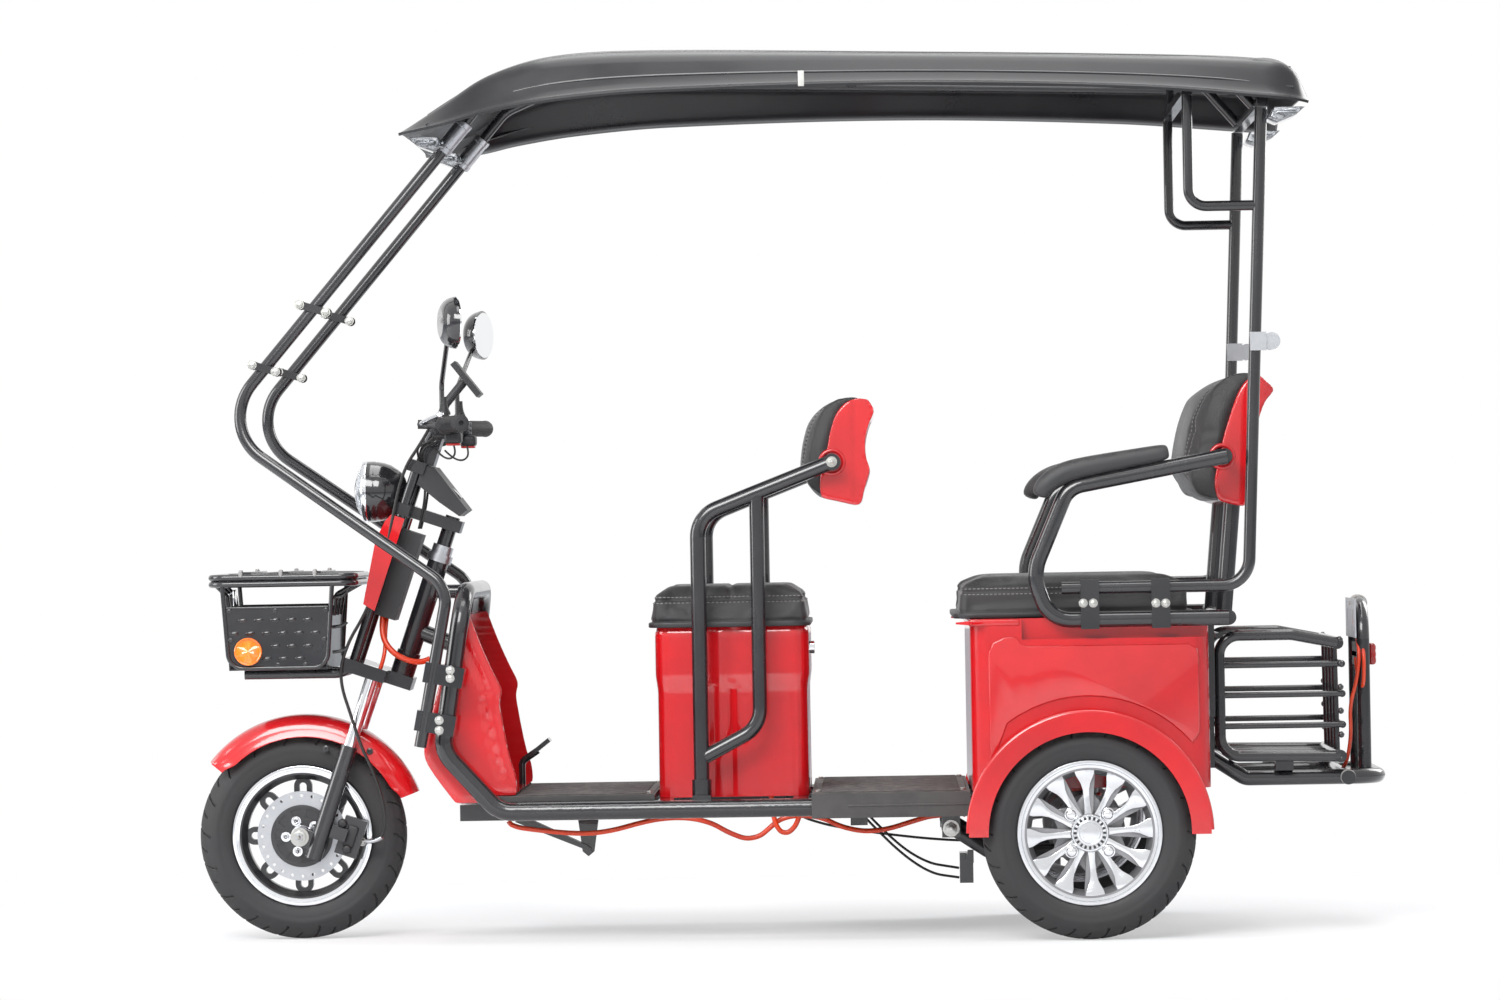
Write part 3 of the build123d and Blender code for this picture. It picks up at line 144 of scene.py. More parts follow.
dust_group, source, sink = new_group("dust", [("Vector", None), ("Amount", 0.3)], ["Mask"])
parts = add_node(dust_group, "SeparateXYZ", {0: add_node(dust_group, "NewGeometry").outputs["Normal"]})
upward = remap(dust_group, parts.outputs["Z"], 0.35, 1)
specks = remap(dust_group, noise(dust_group, source.outputs["Vector"], 38, 8, 0.7), 0.42, 0.75)
settled = maths(dust_group, "MULTIPLY", upward, specks)
dust_group.links.new(maths(dust_group, "MULTIPLY", settled, source.outputs["Amount"], True), sink.inputs["Mask"])

scratch_group, source, sink = new_group("scratches", [("Vector", None), ("Scale", 60)], ["Mask"])
stretch = add_node(scratch_group, "Mapping", {"Scale": (1, 12, 3), "Vector": source.outputs["Vector"]})
lines = noise(scratch_group, stretch.outputs["Vector"], source.outputs["Scale"], 2)
scratch_group.links.new(remap(scratch_group, lines, 0.6, 0.72), sink.inputs["Mask"])

leather_group, source, sink = new_group("leather_grain", [("Vector", None), ("Scale", 420)], ["Height"])
cells = add_node(leather_group, "TexVoronoi", {label: source.outputs[label] for label in ("Vector", "Scale")},
    feature="DISTANCE_TO_EDGE")
pebbles = remap(leather_group, cells.outputs["Distance"], 0, 0.35)
pores = noise(leather_group, source.outputs["Vector"], 1500, 2)
leather_group.links.new(maths(leather_group, "ADD", pebbles, maths(leather_group, "MULTIPLY", pores, 0.35)),
    sink.inputs["Height"])
print("node groups", [g.name for g in bpy.data.node_groups])

# %% [markdown]
# A finish is a Principled shader with a base colour that drifts a little between two close colours, a
# roughness that drifts too, dust on top faces, and a bump. Numbers that are the same all over stay on the
# shader's own sockets. One function holds that recipe, and each finish is one call with its own values.

# %% Finish recipe
def finish(name, colour, other=None, rough=(0.3, 0.4), metal=0, coat=0, coat_rough=0.04, dust=0.15,
        grain=None, leather=None, clouds=7, bump=0.1, bump_distance=0.0005, scratch=0, **shader_values):
    """Material whose colour, roughness and bump vary over Object coordinates."""
    material = bpy.data.materials.new(name)
    material.use_nodes = True
    tree = material.node_tree
    shader = tree.nodes["Principled BSDF"]
    place = tree.nodes.new("ShaderNodeTexCoord").outputs["Object"]

    def effect(group, **values):
        return add_node(tree, "Group", {"Vector": place, **values}, node_tree=group).outputs[0]

    drift = effect(cloud_group, Scale=clouds)
    other = other or [c * 0.86 for c in colour]
    colours = add_node(tree, "Mix", {"A": (*colour, 1), "B": (*other, 1), "Factor": drift}, data_type="RGBA")
    settled = effect(dust_group, Amount=dust)
    dusted = add_node(tree, "Mix", {"B": (0.42, 0.4, 0.37, 1), "Factor": settled, "A": colours.outputs["Result"]},
        data_type="RGBA")
    tree.links.new(dusted.outputs["Result"], shader.inputs["Base Color"])
    sheen = remap(tree, drift, 0, 1, rough[0], rough[1])
    if scratch:
        sheen = maths(tree, "ADD", sheen, maths(tree, "MULTIPLY", effect(scratch_group, Scale=55), scratch))
    tree.links.new(maths(tree, "ADD", sheen, maths(tree, "MULTIPLY", settled, 0.3), True), shader.inputs["Roughness"])
    height = effect(leather_group, Scale=leather) if leather else effect(grain_group, Scale=grain or 300)
    relief = add_node(tree, "Bump", {"Strength": bump, "Distance": bump_distance, "Height": height})
    tree.links.new(relief.outputs["Normal"], shader.inputs["Normal"])
    values = {"Metallic": metal, "Coat_Weight": coat, "Coat_Roughness": coat_rough, **shader_values}
    for label, value in values.items():
        shader.inputs[label.replace("_", " ")].default_value = value
    return material


# %% [markdown]
# The red body panels are injection moulded plastic under a clear gloss: almost no grain, a coat for the sharp
# reflection. Black tubes are powder coated, glossy with a faint orange peel. Cast rims are satin black, the
# rear ones and the rim lips are machined bright.

# %% Finishes for paint, plastic and metal
red_panel = finish("red_panel", (0.62, 0.008, 0.012), (0.5, 0.006, 0.01), (0.16, 0.24), coat=0.8,
    dust=0.06, grain=120, bump=0.025, Specular_IOR_Level=0.5)
black_tube = finish("black_tube", (0.012, 0.012, 0.014), (0.017, 0.017, 0.02), (0.18, 0.3), coat=0.6,
    dust=0.1, grain=420, bump=0.025, bump_distance=0.0003)
black_cast = finish("black_cast", (0.02, 0.02, 0.022), (0.03, 0.03, 0.033), (0.3, 0.42), coat=0.3,
    dust=0.12, grain=700, bump=0.12)
machined_alloy = finish("machined_alloy", (0.74, 0.75, 0.77), (0.62, 0.63, 0.66), (0.14, 0.26), metal=1,
    dust=0.05, grain=900, bump=0.05, scratch=0.12)
polished_chrome = finish("polished_chrome", (0.82, 0.83, 0.85), (0.74, 0.75, 0.78), (0.05, 0.12), metal=1,
    dust=0.04, grain=200, bump=0.01, scratch=0.06)
brushed_steel = finish("brushed_steel", (0.52, 0.53, 0.55), (0.42, 0.43, 0.46), (0.28, 0.42), metal=1,
    dust=0.06, grain=1200, bump=0.1, scratch=0.2)
zinc_bolt = finish("zinc_bolt", (0.58, 0.58, 0.56), (0.45, 0.45, 0.42), (0.25, 0.42), metal=1, dust=0.1,
    grain=900, bump=0.12)
grey_cast = finish("grey_cast", (0.3, 0.3, 0.31), (0.22, 0.22, 0.23), (0.45, 0.6), metal=0.8, dust=0.15,
    grain=600, bump=0.3)
black_moulding = finish("black_moulding", (0.018, 0.018, 0.02), (0.026, 0.026, 0.028), (0.42, 0.55),
    dust=0.12, grain=1400, bump=0.22)
gloss_moulding = finish("gloss_moulding", (0.012, 0.012, 0.014), (0.016, 0.016, 0.018), (0.1, 0.18), coat=0.7,
    dust=0.08, grain=200, bump=0.02)
roof_moulding = finish("roof_moulding", (0.01, 0.01, 0.012), (0.015, 0.015, 0.017), (0.26, 0.38), coat=0.15,
    coat_rough=0.12, dust=0.03, grain=160, bump=0.04, Specular_IOR_Level=0.35)
print("finishes", len(bpy.data.materials))

# %% [markdown]
# Rubber has no coat and a broad highlight. Leatherette shows pebbled grain with pores, and a soft sheen
# where light grazes it. Lenses let light in and carry a colour in the material itself.

# %% Finishes for soft pieces and lenses
tyre_rubber = finish("tyre_rubber", (0.022, 0.022, 0.024), (0.034, 0.033, 0.033), (0.62, 0.78), dust=0.35,
    grain=1100, bump=0.25)
mat_rubber = finish("mat_rubber", (0.04, 0.038, 0.038), (0.075, 0.07, 0.068), (0.55, 0.75), dust=0.5,
    grain=800, bump=0.3, clouds=14)
grip_rubber = finish("grip_rubber", (0.016, 0.016, 0.017), (0.022, 0.022, 0.024), (0.55, 0.68), grain=1500, bump=0.3)
seat_leather = finish("seat_leather", (0.014, 0.014, 0.015), (0.024, 0.023, 0.024), (0.38, 0.52), dust=0.12,
    leather=380, bump=0.55, bump_distance=0.0006, Sheen_Weight=0.15, Sheen_Roughness=0.4)
arm_foam = finish("arm_foam", (0.028, 0.028, 0.03), (0.045, 0.044, 0.046), (0.45, 0.6), dust=0.2,
    leather=700, bump=0.3, Sheen_Weight=0.1)
battery_case = finish("battery_case", (0.045, 0.045, 0.05), (0.06, 0.06, 0.066), (0.45, 0.6), grain=900)
cable_skin = finish("cable_skin", (0.012, 0.012, 0.012), (0.02, 0.02, 0.02), (0.4, 0.55), grain=600)
orange_sleeve = finish("orange_sleeve", (0.72, 0.055, 0.008), (0.62, 0.035, 0.006), (0.3, 0.42), grain=500, coat=0.2)
pale_lens = finish("pale_lens", (0.5, 0.51, 0.53), (0.4, 0.41, 0.43), (0.08, 0.16), metal=0.35, coat=0.9,
    grain=300, bump=0.05)
clear_lens = finish("clear_lens", (0.93, 0.95, 0.97), (0.9, 0.92, 0.95), (0.02, 0.05), dust=0.03, bump=0.02,
    Transmission_Weight=0.92, IOR=1.45)
amber_lens = finish("amber_lens", (0.9, 0.22, 0.005), (0.8, 0.13, 0.003), (0.1, 0.18), dust=0.05, coat=0.5,
    bump=0.03, Transmission_Weight=0.25)
red_lens = finish("red_lens", (0.6, 0.006, 0.006), (0.42, 0.004, 0.004), (0.08, 0.16), dust=0.05, coat=0.6,
    bump=0.02, Transmission_Weight=0.2)
mirror_silver = finish("mirror_silver", (0.88, 0.89, 0.9), (0.85, 0.86, 0.88), (0.01, 0.02), metal=1,
    dust=0.03, bump=0.003)
print("finishes", len(bpy.data.materials))

# %% [markdown]
# Each solid keeps its shape and takes its finish in its material slot. The table names every solid once.

# %% Finishes on the solids
finish_of = {
    black_tube: ["fork_lowers", "fork_crown", "handlebar", "main_frame", "driver_seat_frame", "rear_seat_frame",
                 "canopy_front_tubes", "canopy_rear_posts", "canopy_clamps", "roof_frame", "rear_rack",
                 "rear_bumper", "basket", "basket_lid", "brake_pedal", "underfloor_linkage",
                 "canopy_brackets"],
    black_cast: ["front_rim", "brake_caliper", "rear_suspension"],
    grey_cast: ["rear_axle"],
    machined_alloy: ["rear_rim_left", "rear_rim_right"],
    polished_chrome: ["fork_stanchions", "headlight_lens"],
    brushed_steel: ["brake_disc", "plate_bracket", "front_axle", "headset_nuts"],
    red_panel: ["front_fender", "front_panel", "leg_shield", "driver_seat_box", "driver_backrest_shell",
                "rear_body", "rear_backrest_shell"],
    black_moulding: ["controller_box", "dashboard", "hand_controls"],
    gloss_moulding: ["headlight_housing", "mirror_shells"],
    roof_moulding: ["roof_panel"],
    seat_leather: ["driver_seat_cushion", "driver_backrest_pad", "rear_seat_cushion", "rear_backrest_pad"],
    arm_foam: ["armrest_pads"],
    tyre_rubber: ["front_tyre", "rear_tyre_left", "rear_tyre_right"],
    mat_rubber: ["footboards"],
    grip_rubber: ["grips"],
    battery_case: ["battery_pack"],
    cable_skin: ["brake_cables"],
    orange_sleeve: ["wiring_conduits"],
    amber_lens: ["side_reflectors"],
    pale_lens: ["turn_signals"],
    red_lens: ["tail_lamp"],
    mirror_silver: ["mirror_glass"],
}
for material, names in finish_of.items():
    for name in names:
        solids[name].data.materials.clear()
        solids[name].data.materials.append(material)
covered = {name for names in finish_of.values() for name in names}
print("solids without a finish", sorted(set(solids) - covered))

# %% [markdown]
# The camera stands eleven metres off the left side with a long lens. It aims a little ahead and upward and
# leans by one degree, which needs no lens shift.

# %% Camera
CAMERA_DISTANCE = 11
CAMERA_HEIGHT = 0.823
CAMERA_X = -0.193
camera_data = bpy.data.cameras.new("camera")
camera_data.lens = 131.06
camera_data.sensor_width = 36
camera_data.clip_end = 200
camera = bpy.data.objects.new("camera", camera_data)
scene.collection.objects.link(camera)
camera.location = (CAMERA_X, CAMERA_DISTANCE, CAMERA_HEIGHT)
yaw, pitch, lean = radians(1.36), radians(0.234), radians(1)
aim = Vector((sin(yaw), -cos(yaw), tan(pitch)))
camera.rotation_mode = "QUATERNION"
camera.rotation_quaternion = aim.to_track_quat("-Z", "Y") @ Quaternion((0, 0, 1), -lean)
scene.camera = camera
print("camera aims", [round(v, 4) for v in aim])

# %% [markdown]
# The studio is a white floor and a white surround. The floor shows white to the camera through a Light Path
# switch that is mixed with its lit surface, so it stays white and still keeps the soft shadow. Away from the
# object the white takes over, and polished metal and lenses show the same white surround.

# %% Floor and surround
bpy.ops.mesh.primitive_plane_add(size=60, location=(0, 0, -0.0005))
floor = bpy.context.object
floor.name = "studio_floor"
floor_paint = bpy.data.materials.new("floor_paint")
floor_paint.use_nodes = True
tree = floor_paint.node_tree
paint = tree.nodes["Principled BSDF"]
for label, value in (("Base Color", (0.86, 0.86, 0.86, 1)), ("Roughness", 0.9), ("Specular IOR Level", 0.1)):
    paint.inputs[label].default_value = value
white = add_node(tree, "Emission", {"Color": (1, 1, 1, 1)})
place = add_node(tree, "TexCoord").outputs["Object"]
squeeze = add_node(tree, "VectorMath", {0: place, 1: (0.55, 0.75, 0)}, operation="MULTIPLY")
reach = add_node(tree, "VectorMath", {0: squeeze.outputs[0]}, operation="LENGTH")
share = remap(tree, reach.outputs["Value"], 0.75, 1.25, 0.42, 1)
seen_share = maths(tree, "MULTIPLY", share, add_node(tree, "LightPath").outputs["Is Camera Ray"])
mixer = add_node(tree, "MixShader", {0: seen_share, 1: paint.outputs[0], 2: white.outputs[0]})
tree.links.new(mixer.outputs[0], tree.nodes["Material Output"].inputs["Surface"])
floor.data.materials.append(floor_paint)

world = bpy.data.worlds.new("surround")
scene.world = world
world.use_nodes = True
tree = world.node_tree
tree.nodes.clear()
lit = add_node(tree, "Background", {"Color": (0.8, 0.84, 0.9, 1), "Strength": 0.55})
seen = add_node(tree, "Background", {"Color": (1, 1, 1, 1), "Strength": 1})
ray = add_node(tree, "LightPath")
either = maths(tree, "MAXIMUM", ray.outputs["Is Glossy Ray"], ray.outputs["Is Transmission Ray"])
shown = maths(tree, "MAXIMUM", ray.outputs["Is Camera Ray"], either)
mixer = add_node(tree, "MixShader", {0: shown, 1: lit.outputs[0], 2: seen.outputs[0]})
add_node(tree, "OutputWorld", {"Surface": mixer.outputs[0]})


# %% Lamps
def softbox(name, place, target, size, power):
    """Square area lamp aimed at a point."""
    data = bpy.data.lights.new(name, "AREA")
    data.shape = "RECTANGLE"
    data.size, data.size_y = size
    data.energy = power
    lamp = bpy.data.objects.new(name, data)
    scene.collection.objects.link(lamp)
    lamp.location = place
    lamp.rotation_euler = (Vector(target) - Vector(place)).to_track_quat("-Z", "Y").to_euler()


scene.view_settings.view_transform = "Standard"
softbox("key_box", (1.5, 4.2, 3.6), (0, 0, 0.7), (3.2, 2), 230)
softbox("top_box", (-0.3, 0, 4.6), (0, 0, 0.5), (4.5, 3), 170)
softbox("rim_box", (-3.6, -2.6, 2.8), (0, 0, 0.8), (2, 2.5), 90)
softbox("front_box", (4.2, 0.8, 1.8), (0.4, 0, 0.7), (1.6, 2.4), 70)

# %% [markdown]
# Pieces are modelled as by hand: a primitive is added, opened in edit mode, and faces or edges are picked by
# place before an operator acts on them. A few helpers keep that short. Each piece's transform is applied at
# once, so its mesh is in the frame's own coordinates and its object stays at the origin.

# %% Modelling helpers
def only(piece):
    """Make one object the only selected one."""
    bpy.ops.object.select_all(action="DESELECT")
    piece.select_set(True)
    bpy.context.view_layer.objects.active = piece


def start(name, shape, **place):
    """Add a primitive and apply its transform."""
    bpy.ops.object.select_all(action="DESELECT")
    getattr(bpy.ops.mesh, "primitive_" + shape + "_add")(**place)
    piece = bpy.context.object
    piece.name = piece.data.name = name
    bpy.ops.object.transform_apply(location=True, rotation=True, scale=True)
    return piece


def edit(piece, kind="FACE"):
    """Open a piece in edit mode with nothing selected."""
    only(piece)
    bpy.ops.object.mode_set(mode="EDIT")
    bpy.ops.mesh.select_mode(type=kind)
    bpy.ops.mesh.select_all(action="DESELECT")


def whole():
    """Select all of the open mesh."""
    bpy.ops.mesh.select_all(action="SELECT")


def pull(way):
    """Extrude what is selected along a vector."""
    bpy.ops.mesh.extrude_region_move(TRANSFORM_OT_translate={"value": way})


def inset(*rings):
    """Inset the selected faces ring by ring, each ring a (width, depth) pair."""
    for width, depth in rings:
        bpy.ops.mesh.inset(thickness=width, depth=depth)


def soften(offset, segments=2):
    """Bevel what is selected."""
    bpy.ops.mesh.bevel(offset=offset, segments=segments, profile=0.5)


def resize(factors, centre=(0, 0, 0)):
    """Scale what is selected about a centre."""
    bpy.ops.transform.resize(value=factors, center_override=centre)


def flip(side):
    """Matrix that keeps the left side and mirrors for the right one."""
    return Matrix.Scale(side, 4, (0, 1, 0))


def pick(piece, test, kind="FACE"):
    """Select the elements of an open mesh for which test(place, normal) holds; edges give their direction."""
    bpy.ops.mesh.select_mode(type=kind)
    bpy.ops.mesh.select_all(action="DESELECT")
    mesh = bmesh.from_edit_mesh(piece.data)
    if kind == "FACE":
        chosen = [f for f in mesh.faces if test(f.calc_center_median(), f.normal)]
    elif kind == "EDGE":
        chosen = [e for e in mesh.edges
            if test((e.verts[0].co + e.verts[1].co) / 2, (e.verts[1].co - e.verts[0].co).normalized())]
    else:
        chosen = [v for v in mesh.verts if test(v.co, v.normal)]
    for element in chosen:
        element.select_set(True)
    mesh.select_flush_mode()
    bmesh.update_edit_mesh(piece.data)
    return len(chosen)


def close(piece, tidy=True):
    """Leave edit mode, with doubles merged and normals outwards."""
    if tidy:
        whole()
        bpy.ops.mesh.remove_doubles(threshold=0.00001)
        bpy.ops.mesh.normals_make_consistent(inside=False)
    bpy.ops.object.mode_set(mode="OBJECT")


def sketch(name, points, fill="NOTHING"):
    """Closed ring of points, open or filled."""
    piece = start(name, "circle", vertices=len(points), fill_type=fill)
    for vert, place in zip(piece.data.vertices, points):
        vert.co = place
    return piece


def sweep(hub, steps, turn=360, axis=(0, 1, 0), merge=0.0001):
    """Spin the open mesh about an axis through hub, and close the seam."""
    whole()
    bpy.ops.mesh.spin(steps=steps, angle=radians(turn), center=hub, axis=axis)
    whole()
    bpy.ops.mesh.remove_doubles(threshold=merge)
    bpy.ops.mesh.normals_make_consistent(inside=False)


def slices(normal, low, high, count):
    """Cut the open mesh into even slices."""
    normal = Vector(normal)
    for step in range(1, count):
        whole()
        bpy.ops.mesh.bisect(plane_co=normal * (low + (high - low) * step / count), plane_no=normal)


def remesh(piece, size):
    """Even mesh over the same shape."""
    piece.data.remesh_voxel_size = size
    only(piece)
    bpy.ops.object.voxel_remesh()


def aimed(piece, place, facing):
    """Turn a piece's +Z to facing and move it to a place."""
    turn = Vector(facing).to_track_quat("Z", "Y").to_matrix().to_4x4()
    piece.data.transform(Matrix.Translation(Vector(place)) @ turn)
    return piece


def modify(piece, kind, **settings):
    """Add a modifier and apply it."""
    only(piece)
    modifier = piece.modifiers.new(kind.title(), kind)
    for label, value in settings.items():
        setattr(modifier, label, value)
    bpy.ops.object.modifier_apply(modifier=modifier.name)


def dress(piece, material, body, smooth=35):
    """Give a finished piece its finish and the body that it rides on."""
    only(piece)
    piece.data.materials.clear()
    piece.data.materials.append(material)
    bpy.ops.object.shade_smooth_by_angle(angle=radians(smooth))
    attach(piece, body)
    return piece


def wire(name, points, radius, sides=2):
    """Round wire along points, as a mesh."""
    curve = bpy.data.curves.new(name, "CURVE")
    curve.dimensions = "3D"
    curve.bevel_depth = radius
    curve.bevel_resolution = sides
    curve.use_fill_caps = True
    curve.resolution_u = 8
    spline = curve.splines.new("NURBS")
    spline.points.add(len(points) - 1)
    for target, place in zip(spline.points, points):
        target.co = (*place, 1)
    spline.order_u = 3
    spline.use_endpoint_u = True
    holder = bpy.data.objects.new(name, curve)
    scene.collection.objects.link(holder)
    only(holder)
    bpy.ops.object.convert(target="MESH")
    piece = bpy.context.object
    piece.name = piece.data.name = name
    return piece


def twin(piece, name, matrix):
    """Copy with its own mesh, moved by a matrix."""
    other = piece.copy()
    other.data = piece.data.copy()
    other.name = other.data.name = name
    scene.collection.objects.link(other)
    other.data.transform(matrix)
    if matrix.determinant() < 0:
        other.data.flip_normals()
    return other


def join(pieces, name):
    """Join pieces into the first one."""
    only(pieces[0])
    for piece in pieces:
        piece.select_set(True)
    if len(pieces) > 1:
        bpy.ops.object.join()
    pieces[0].name = pieces[0].data.name = name
    return pieces[0]


SIDES = (("left", 1), ("right", -1))
REAR_WHEELS = (("left", left_hub, 1), ("right", right_hub, -1))
QUARTER = pi / 2
print("helpers ready")

# %% [markdown]
# A scooter tyre is a carcass with slanted grooves cut in its tread and a few rings on its side walls. A
# texture would not show on its outline, so it is mesh: a circle is shaped to the tyre's section and spun
# about the axle. Rows of the tread are then turned about the axle by their distance from the middle, so
# that columns slant, and the faces of single columns are inset downwards as grooves.

# %% One tyre
COLUMNS = 216
column_turn = 2 * pi / COLUMNS
seat_radius = (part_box("front_rim")[1].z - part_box("front_rim")[0].z) / 2 - 0.0137


def about_axle(place, hub):
    """Distance from the axle and angle round it."""
    ahead, up = place.x - hub.x, place.z - hub.z
    return hypot(ahead, up), atan2(ahead, up)


def slant(side):
    """Turn round the axle of a tread row at this distance from the middle."""
    return min(abs(side) / 0.034, 1) ** 1.3 * 0.16


def make_tyre(name, node, body):
    """Treaded tyre in the space of one tyre solid."""
    low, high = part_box(node)
    hub = middle(node)
    half_wide, half_tall = (high.y - low.y) / 2, (tyre_radius - seat_radius) / 2
    piece = start(name, "circle", vertices=60, radius=half_tall,
        location=hub + Vector((0, 0, tyre_radius - half_tall)), rotation=(0, QUARTER, 0))
    edit(piece, "VERT")
    whole()
    resize((1, half_wide / half_tall, 1), hub)
    pick(piece, lambda place, normal: place.z > hub.z + tyre_radius - half_tall * 0.9, "VERT")
    resize((1, 1.05, 1), hub)
    crown = hub.z + tyre_radius - half_tall * 0.32
    pick(piece, lambda place, normal: crown < place.z < hub.z + tyre_radius - 0.002, "VERT")
    bpy.ops.transform.translate(value=(0, 0, 0.0028))
    pick(piece, lambda place, normal: place.z < hub.z + seat_radius + 0.016, "VERT")
    resize((1, 0.84, 1), hub)
    sweep(hub, COLUMNS, merge=0.0002)
    bm = bmesh.from_edit_mesh(piece.data)
    for vert in bm.verts:
        if about_axle(vert.co, hub)[0] > 0.176:
            turn = Matrix.Rotation(slant(vert.co.y - hub.y), 3, "Y")
            vert.co = hub + turn @ (vert.co - hub)
    bmesh.update_edit_mesh(piece.data)

    def groove(place, normal):
        radius, angle = about_axle(place, hub)
        side = abs(place.y - hub.y)
        if radius < 0.182:
            return False
        right = place.y < hub.y
        column = round((angle - slant(side)) / column_turn - 0.5 + (6 if right else 0)) % 12
        deep = column == 0 and 0.006 < side < 0.037
        short = column == 6 and 0.015 < side < 0.031
        return deep or short

    print(name, "groove faces", pick(piece, groove))
    inset((0.0009, -0.0034))
    for ring_low, ring_high in ((0.15, 0.1525), (0.171, 0.1735)):
        pick(piece, lambda place, normal: ring_low < about_axle(place, hub)[0] < ring_high and abs(normal.y) > 0.3)
        inset((0.0005, 0.0009))
    close(piece)
    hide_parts(node)
    return dress(piece, tyre_rubber, body, 40)


front_tyre = make_tyre("front_tyre_treaded", "front_tyre", "front_wheel")
for tag, hub, side in REAR_WHEELS:
    make_tyre("rear_tyre_treaded_" + tag, "rear_tyre_" + tag, "rear_wheel_" + tag)
print("tyre triangles", sum(len(f.vertices) - 2 for f in front_tyre.data.polygons))

# %% [markdown]
# The cushions are foam under stretched leatherette. A swollen shape with sides that pull in between the
# corners comes out of cloth pressure better than out of hand-moved points. Each pad starts a little small
# with rounded edges, is remeshed evenly, and is blown up over twenty frames while its base stays pinned.
# Points are kept from moving too far, and one subdivision smooths the result.

# %% Pad helpers
def smooth_step(value):
    """Eased value between 0 and 1."""
    value = max(0, min(1, value))
    return value * value * (3 - 2 * value)


def block(name, low, high, rounding, segments=3):
    """Rounded box between two corners."""
    low, high = Vector(low), Vector(high)
    piece = start(name, "cube", size=1, location=(low + high) / 2, scale=high - low)
    edit(piece, "EDGE")
    whole()
    soften(rounding, segments)
    close(piece)
    return piece


def swell(piece, cap, pinned, voxel=0.006, pressure=4):
    """Blow a pad up by cloth pressure, with the points where pinned(place) holds kept still."""
    remesh(piece, voxel)
    still = piece.vertex_groups.new(name="pinned")
    still.add([v.index for v in piece.data.vertices if pinned(v.co)], 1, "REPLACE")
    before = [v.co.copy() for v in piece.data.vertices]
    cloth = piece.modifiers.new("Cloth", "CLOTH")
    cloth.settings.use_pressure = True
    cloth.settings.uniform_pressure_force = pressure
    cloth.settings.effector_weights.gravity = 0
    cloth.settings.vertex_group_mass = "pinned"
    cloth.settings.tension_stiffness = cloth.settings.compression_stiffness = 25
    cloth.point_cache.frame_end = 20
    for step in range(1, 21):
        scene.frame_set(step)
    only(piece)
    bpy.ops.object.modifier_apply(modifier=cloth.name)
    scene.frame_set(1)
    farthest = 0
    for vert, old in zip(piece.data.vertices, before):
        move = vert.co - old
        farthest = max(farthest, move.length)
        if move.length > cap:
            vert.co = old + move * (cap / move.length)
    piece.vertex_groups.clear()
    print(piece.name, "moved up to", round(farthest, 4))
    modify(piece, "SMOOTH", factor=0.5, iterations=4)
    modify(piece, "SUBSURF", levels=1, render_levels=1)


def channel(piece, depth, width, distance):
    """Press a sewn line into a pad where distance(place), with a sign, passes through zero."""
    for vert in piece.data.vertices:
        away = distance(vert.co)
        if away is not None and abs(away) < width:
            vert.co -= vert.normal * depth * smooth_step(1 - abs(away) / width)
    piece.data.update()


def stitch_along(name, points, normals, body, length=0.0052, pitch=0.0085):
    """Row of thread stitches laid along points on a surface."""
    one = start(name, "cylinder", vertices=6, radius=0.0008, depth=length)
    edit(one, "EDGE")
    pick(one, lambda place, way: abs(way.z) < 0.5, "EDGE")
    soften(0.0004, 1)
    close(one)
    base = [v.co.copy() for v in one.data.vertices]
    faces = [tuple(f.vertices) for f in one.data.polygons]
    coords, polygons, run = [], [], 0
    for index in range(len(points)):
        here, after = points[index], points[(index + 1) % len(points)]
        way = after - here
        if way.length < 0.0001 or (index == len(points) - 1 and way.length > 0.05):
            continue
        while run < way.length:
            place = here + way * (run / way.length)
            turn = way.to_track_quat("Z", "Y")
            offset = len(coords)
            coords += [place + normals[index] * 0.0002 + turn @ p for p in base]
            polygons += [tuple(i + offset for i in f) for f in faces]
            run += pitch
        run -= way.length
    one.data.clear_geometry()
    one.data.from_pydata(coords, [], polygons)
    one.data.update()
    dress(one, thread, body)


def ring_on(piece, centre, height, steps, stretch):
    """Points and normals where level rays from the outside meet a pad at one height."""
    points, normals = [], []
    for index in range(steps):
        angle = 2 * pi * index / steps
        way = Vector((cos(angle) * stretch[0], sin(angle) * stretch[1], 0))
        way = way / max(abs(way.x) / stretch[0], abs(way.y) / stretch[1])
        origin = Vector((centre.x, centre.y, height)) + way * 2
        found, place, normal, face = piece.ray_cast(origin, -way.normalized())
        if found:
            points.append(place)
            normals.append(normal)
    return points, normals


thread = finish("seam_thread", (0.3, 0.29, 0.28), (0.22, 0.21, 0.2), (0.6, 0.7), grain=1800, bump=0.2)
print("pad helpers ready")

# %% [markdown]
# The driver's seat is a thick square pad on the lid of the seat box. Its cover has a top panel sewn to a side
# band. The line of that seam is pressed in after the swelling, and two rows of thread are laid beside it.

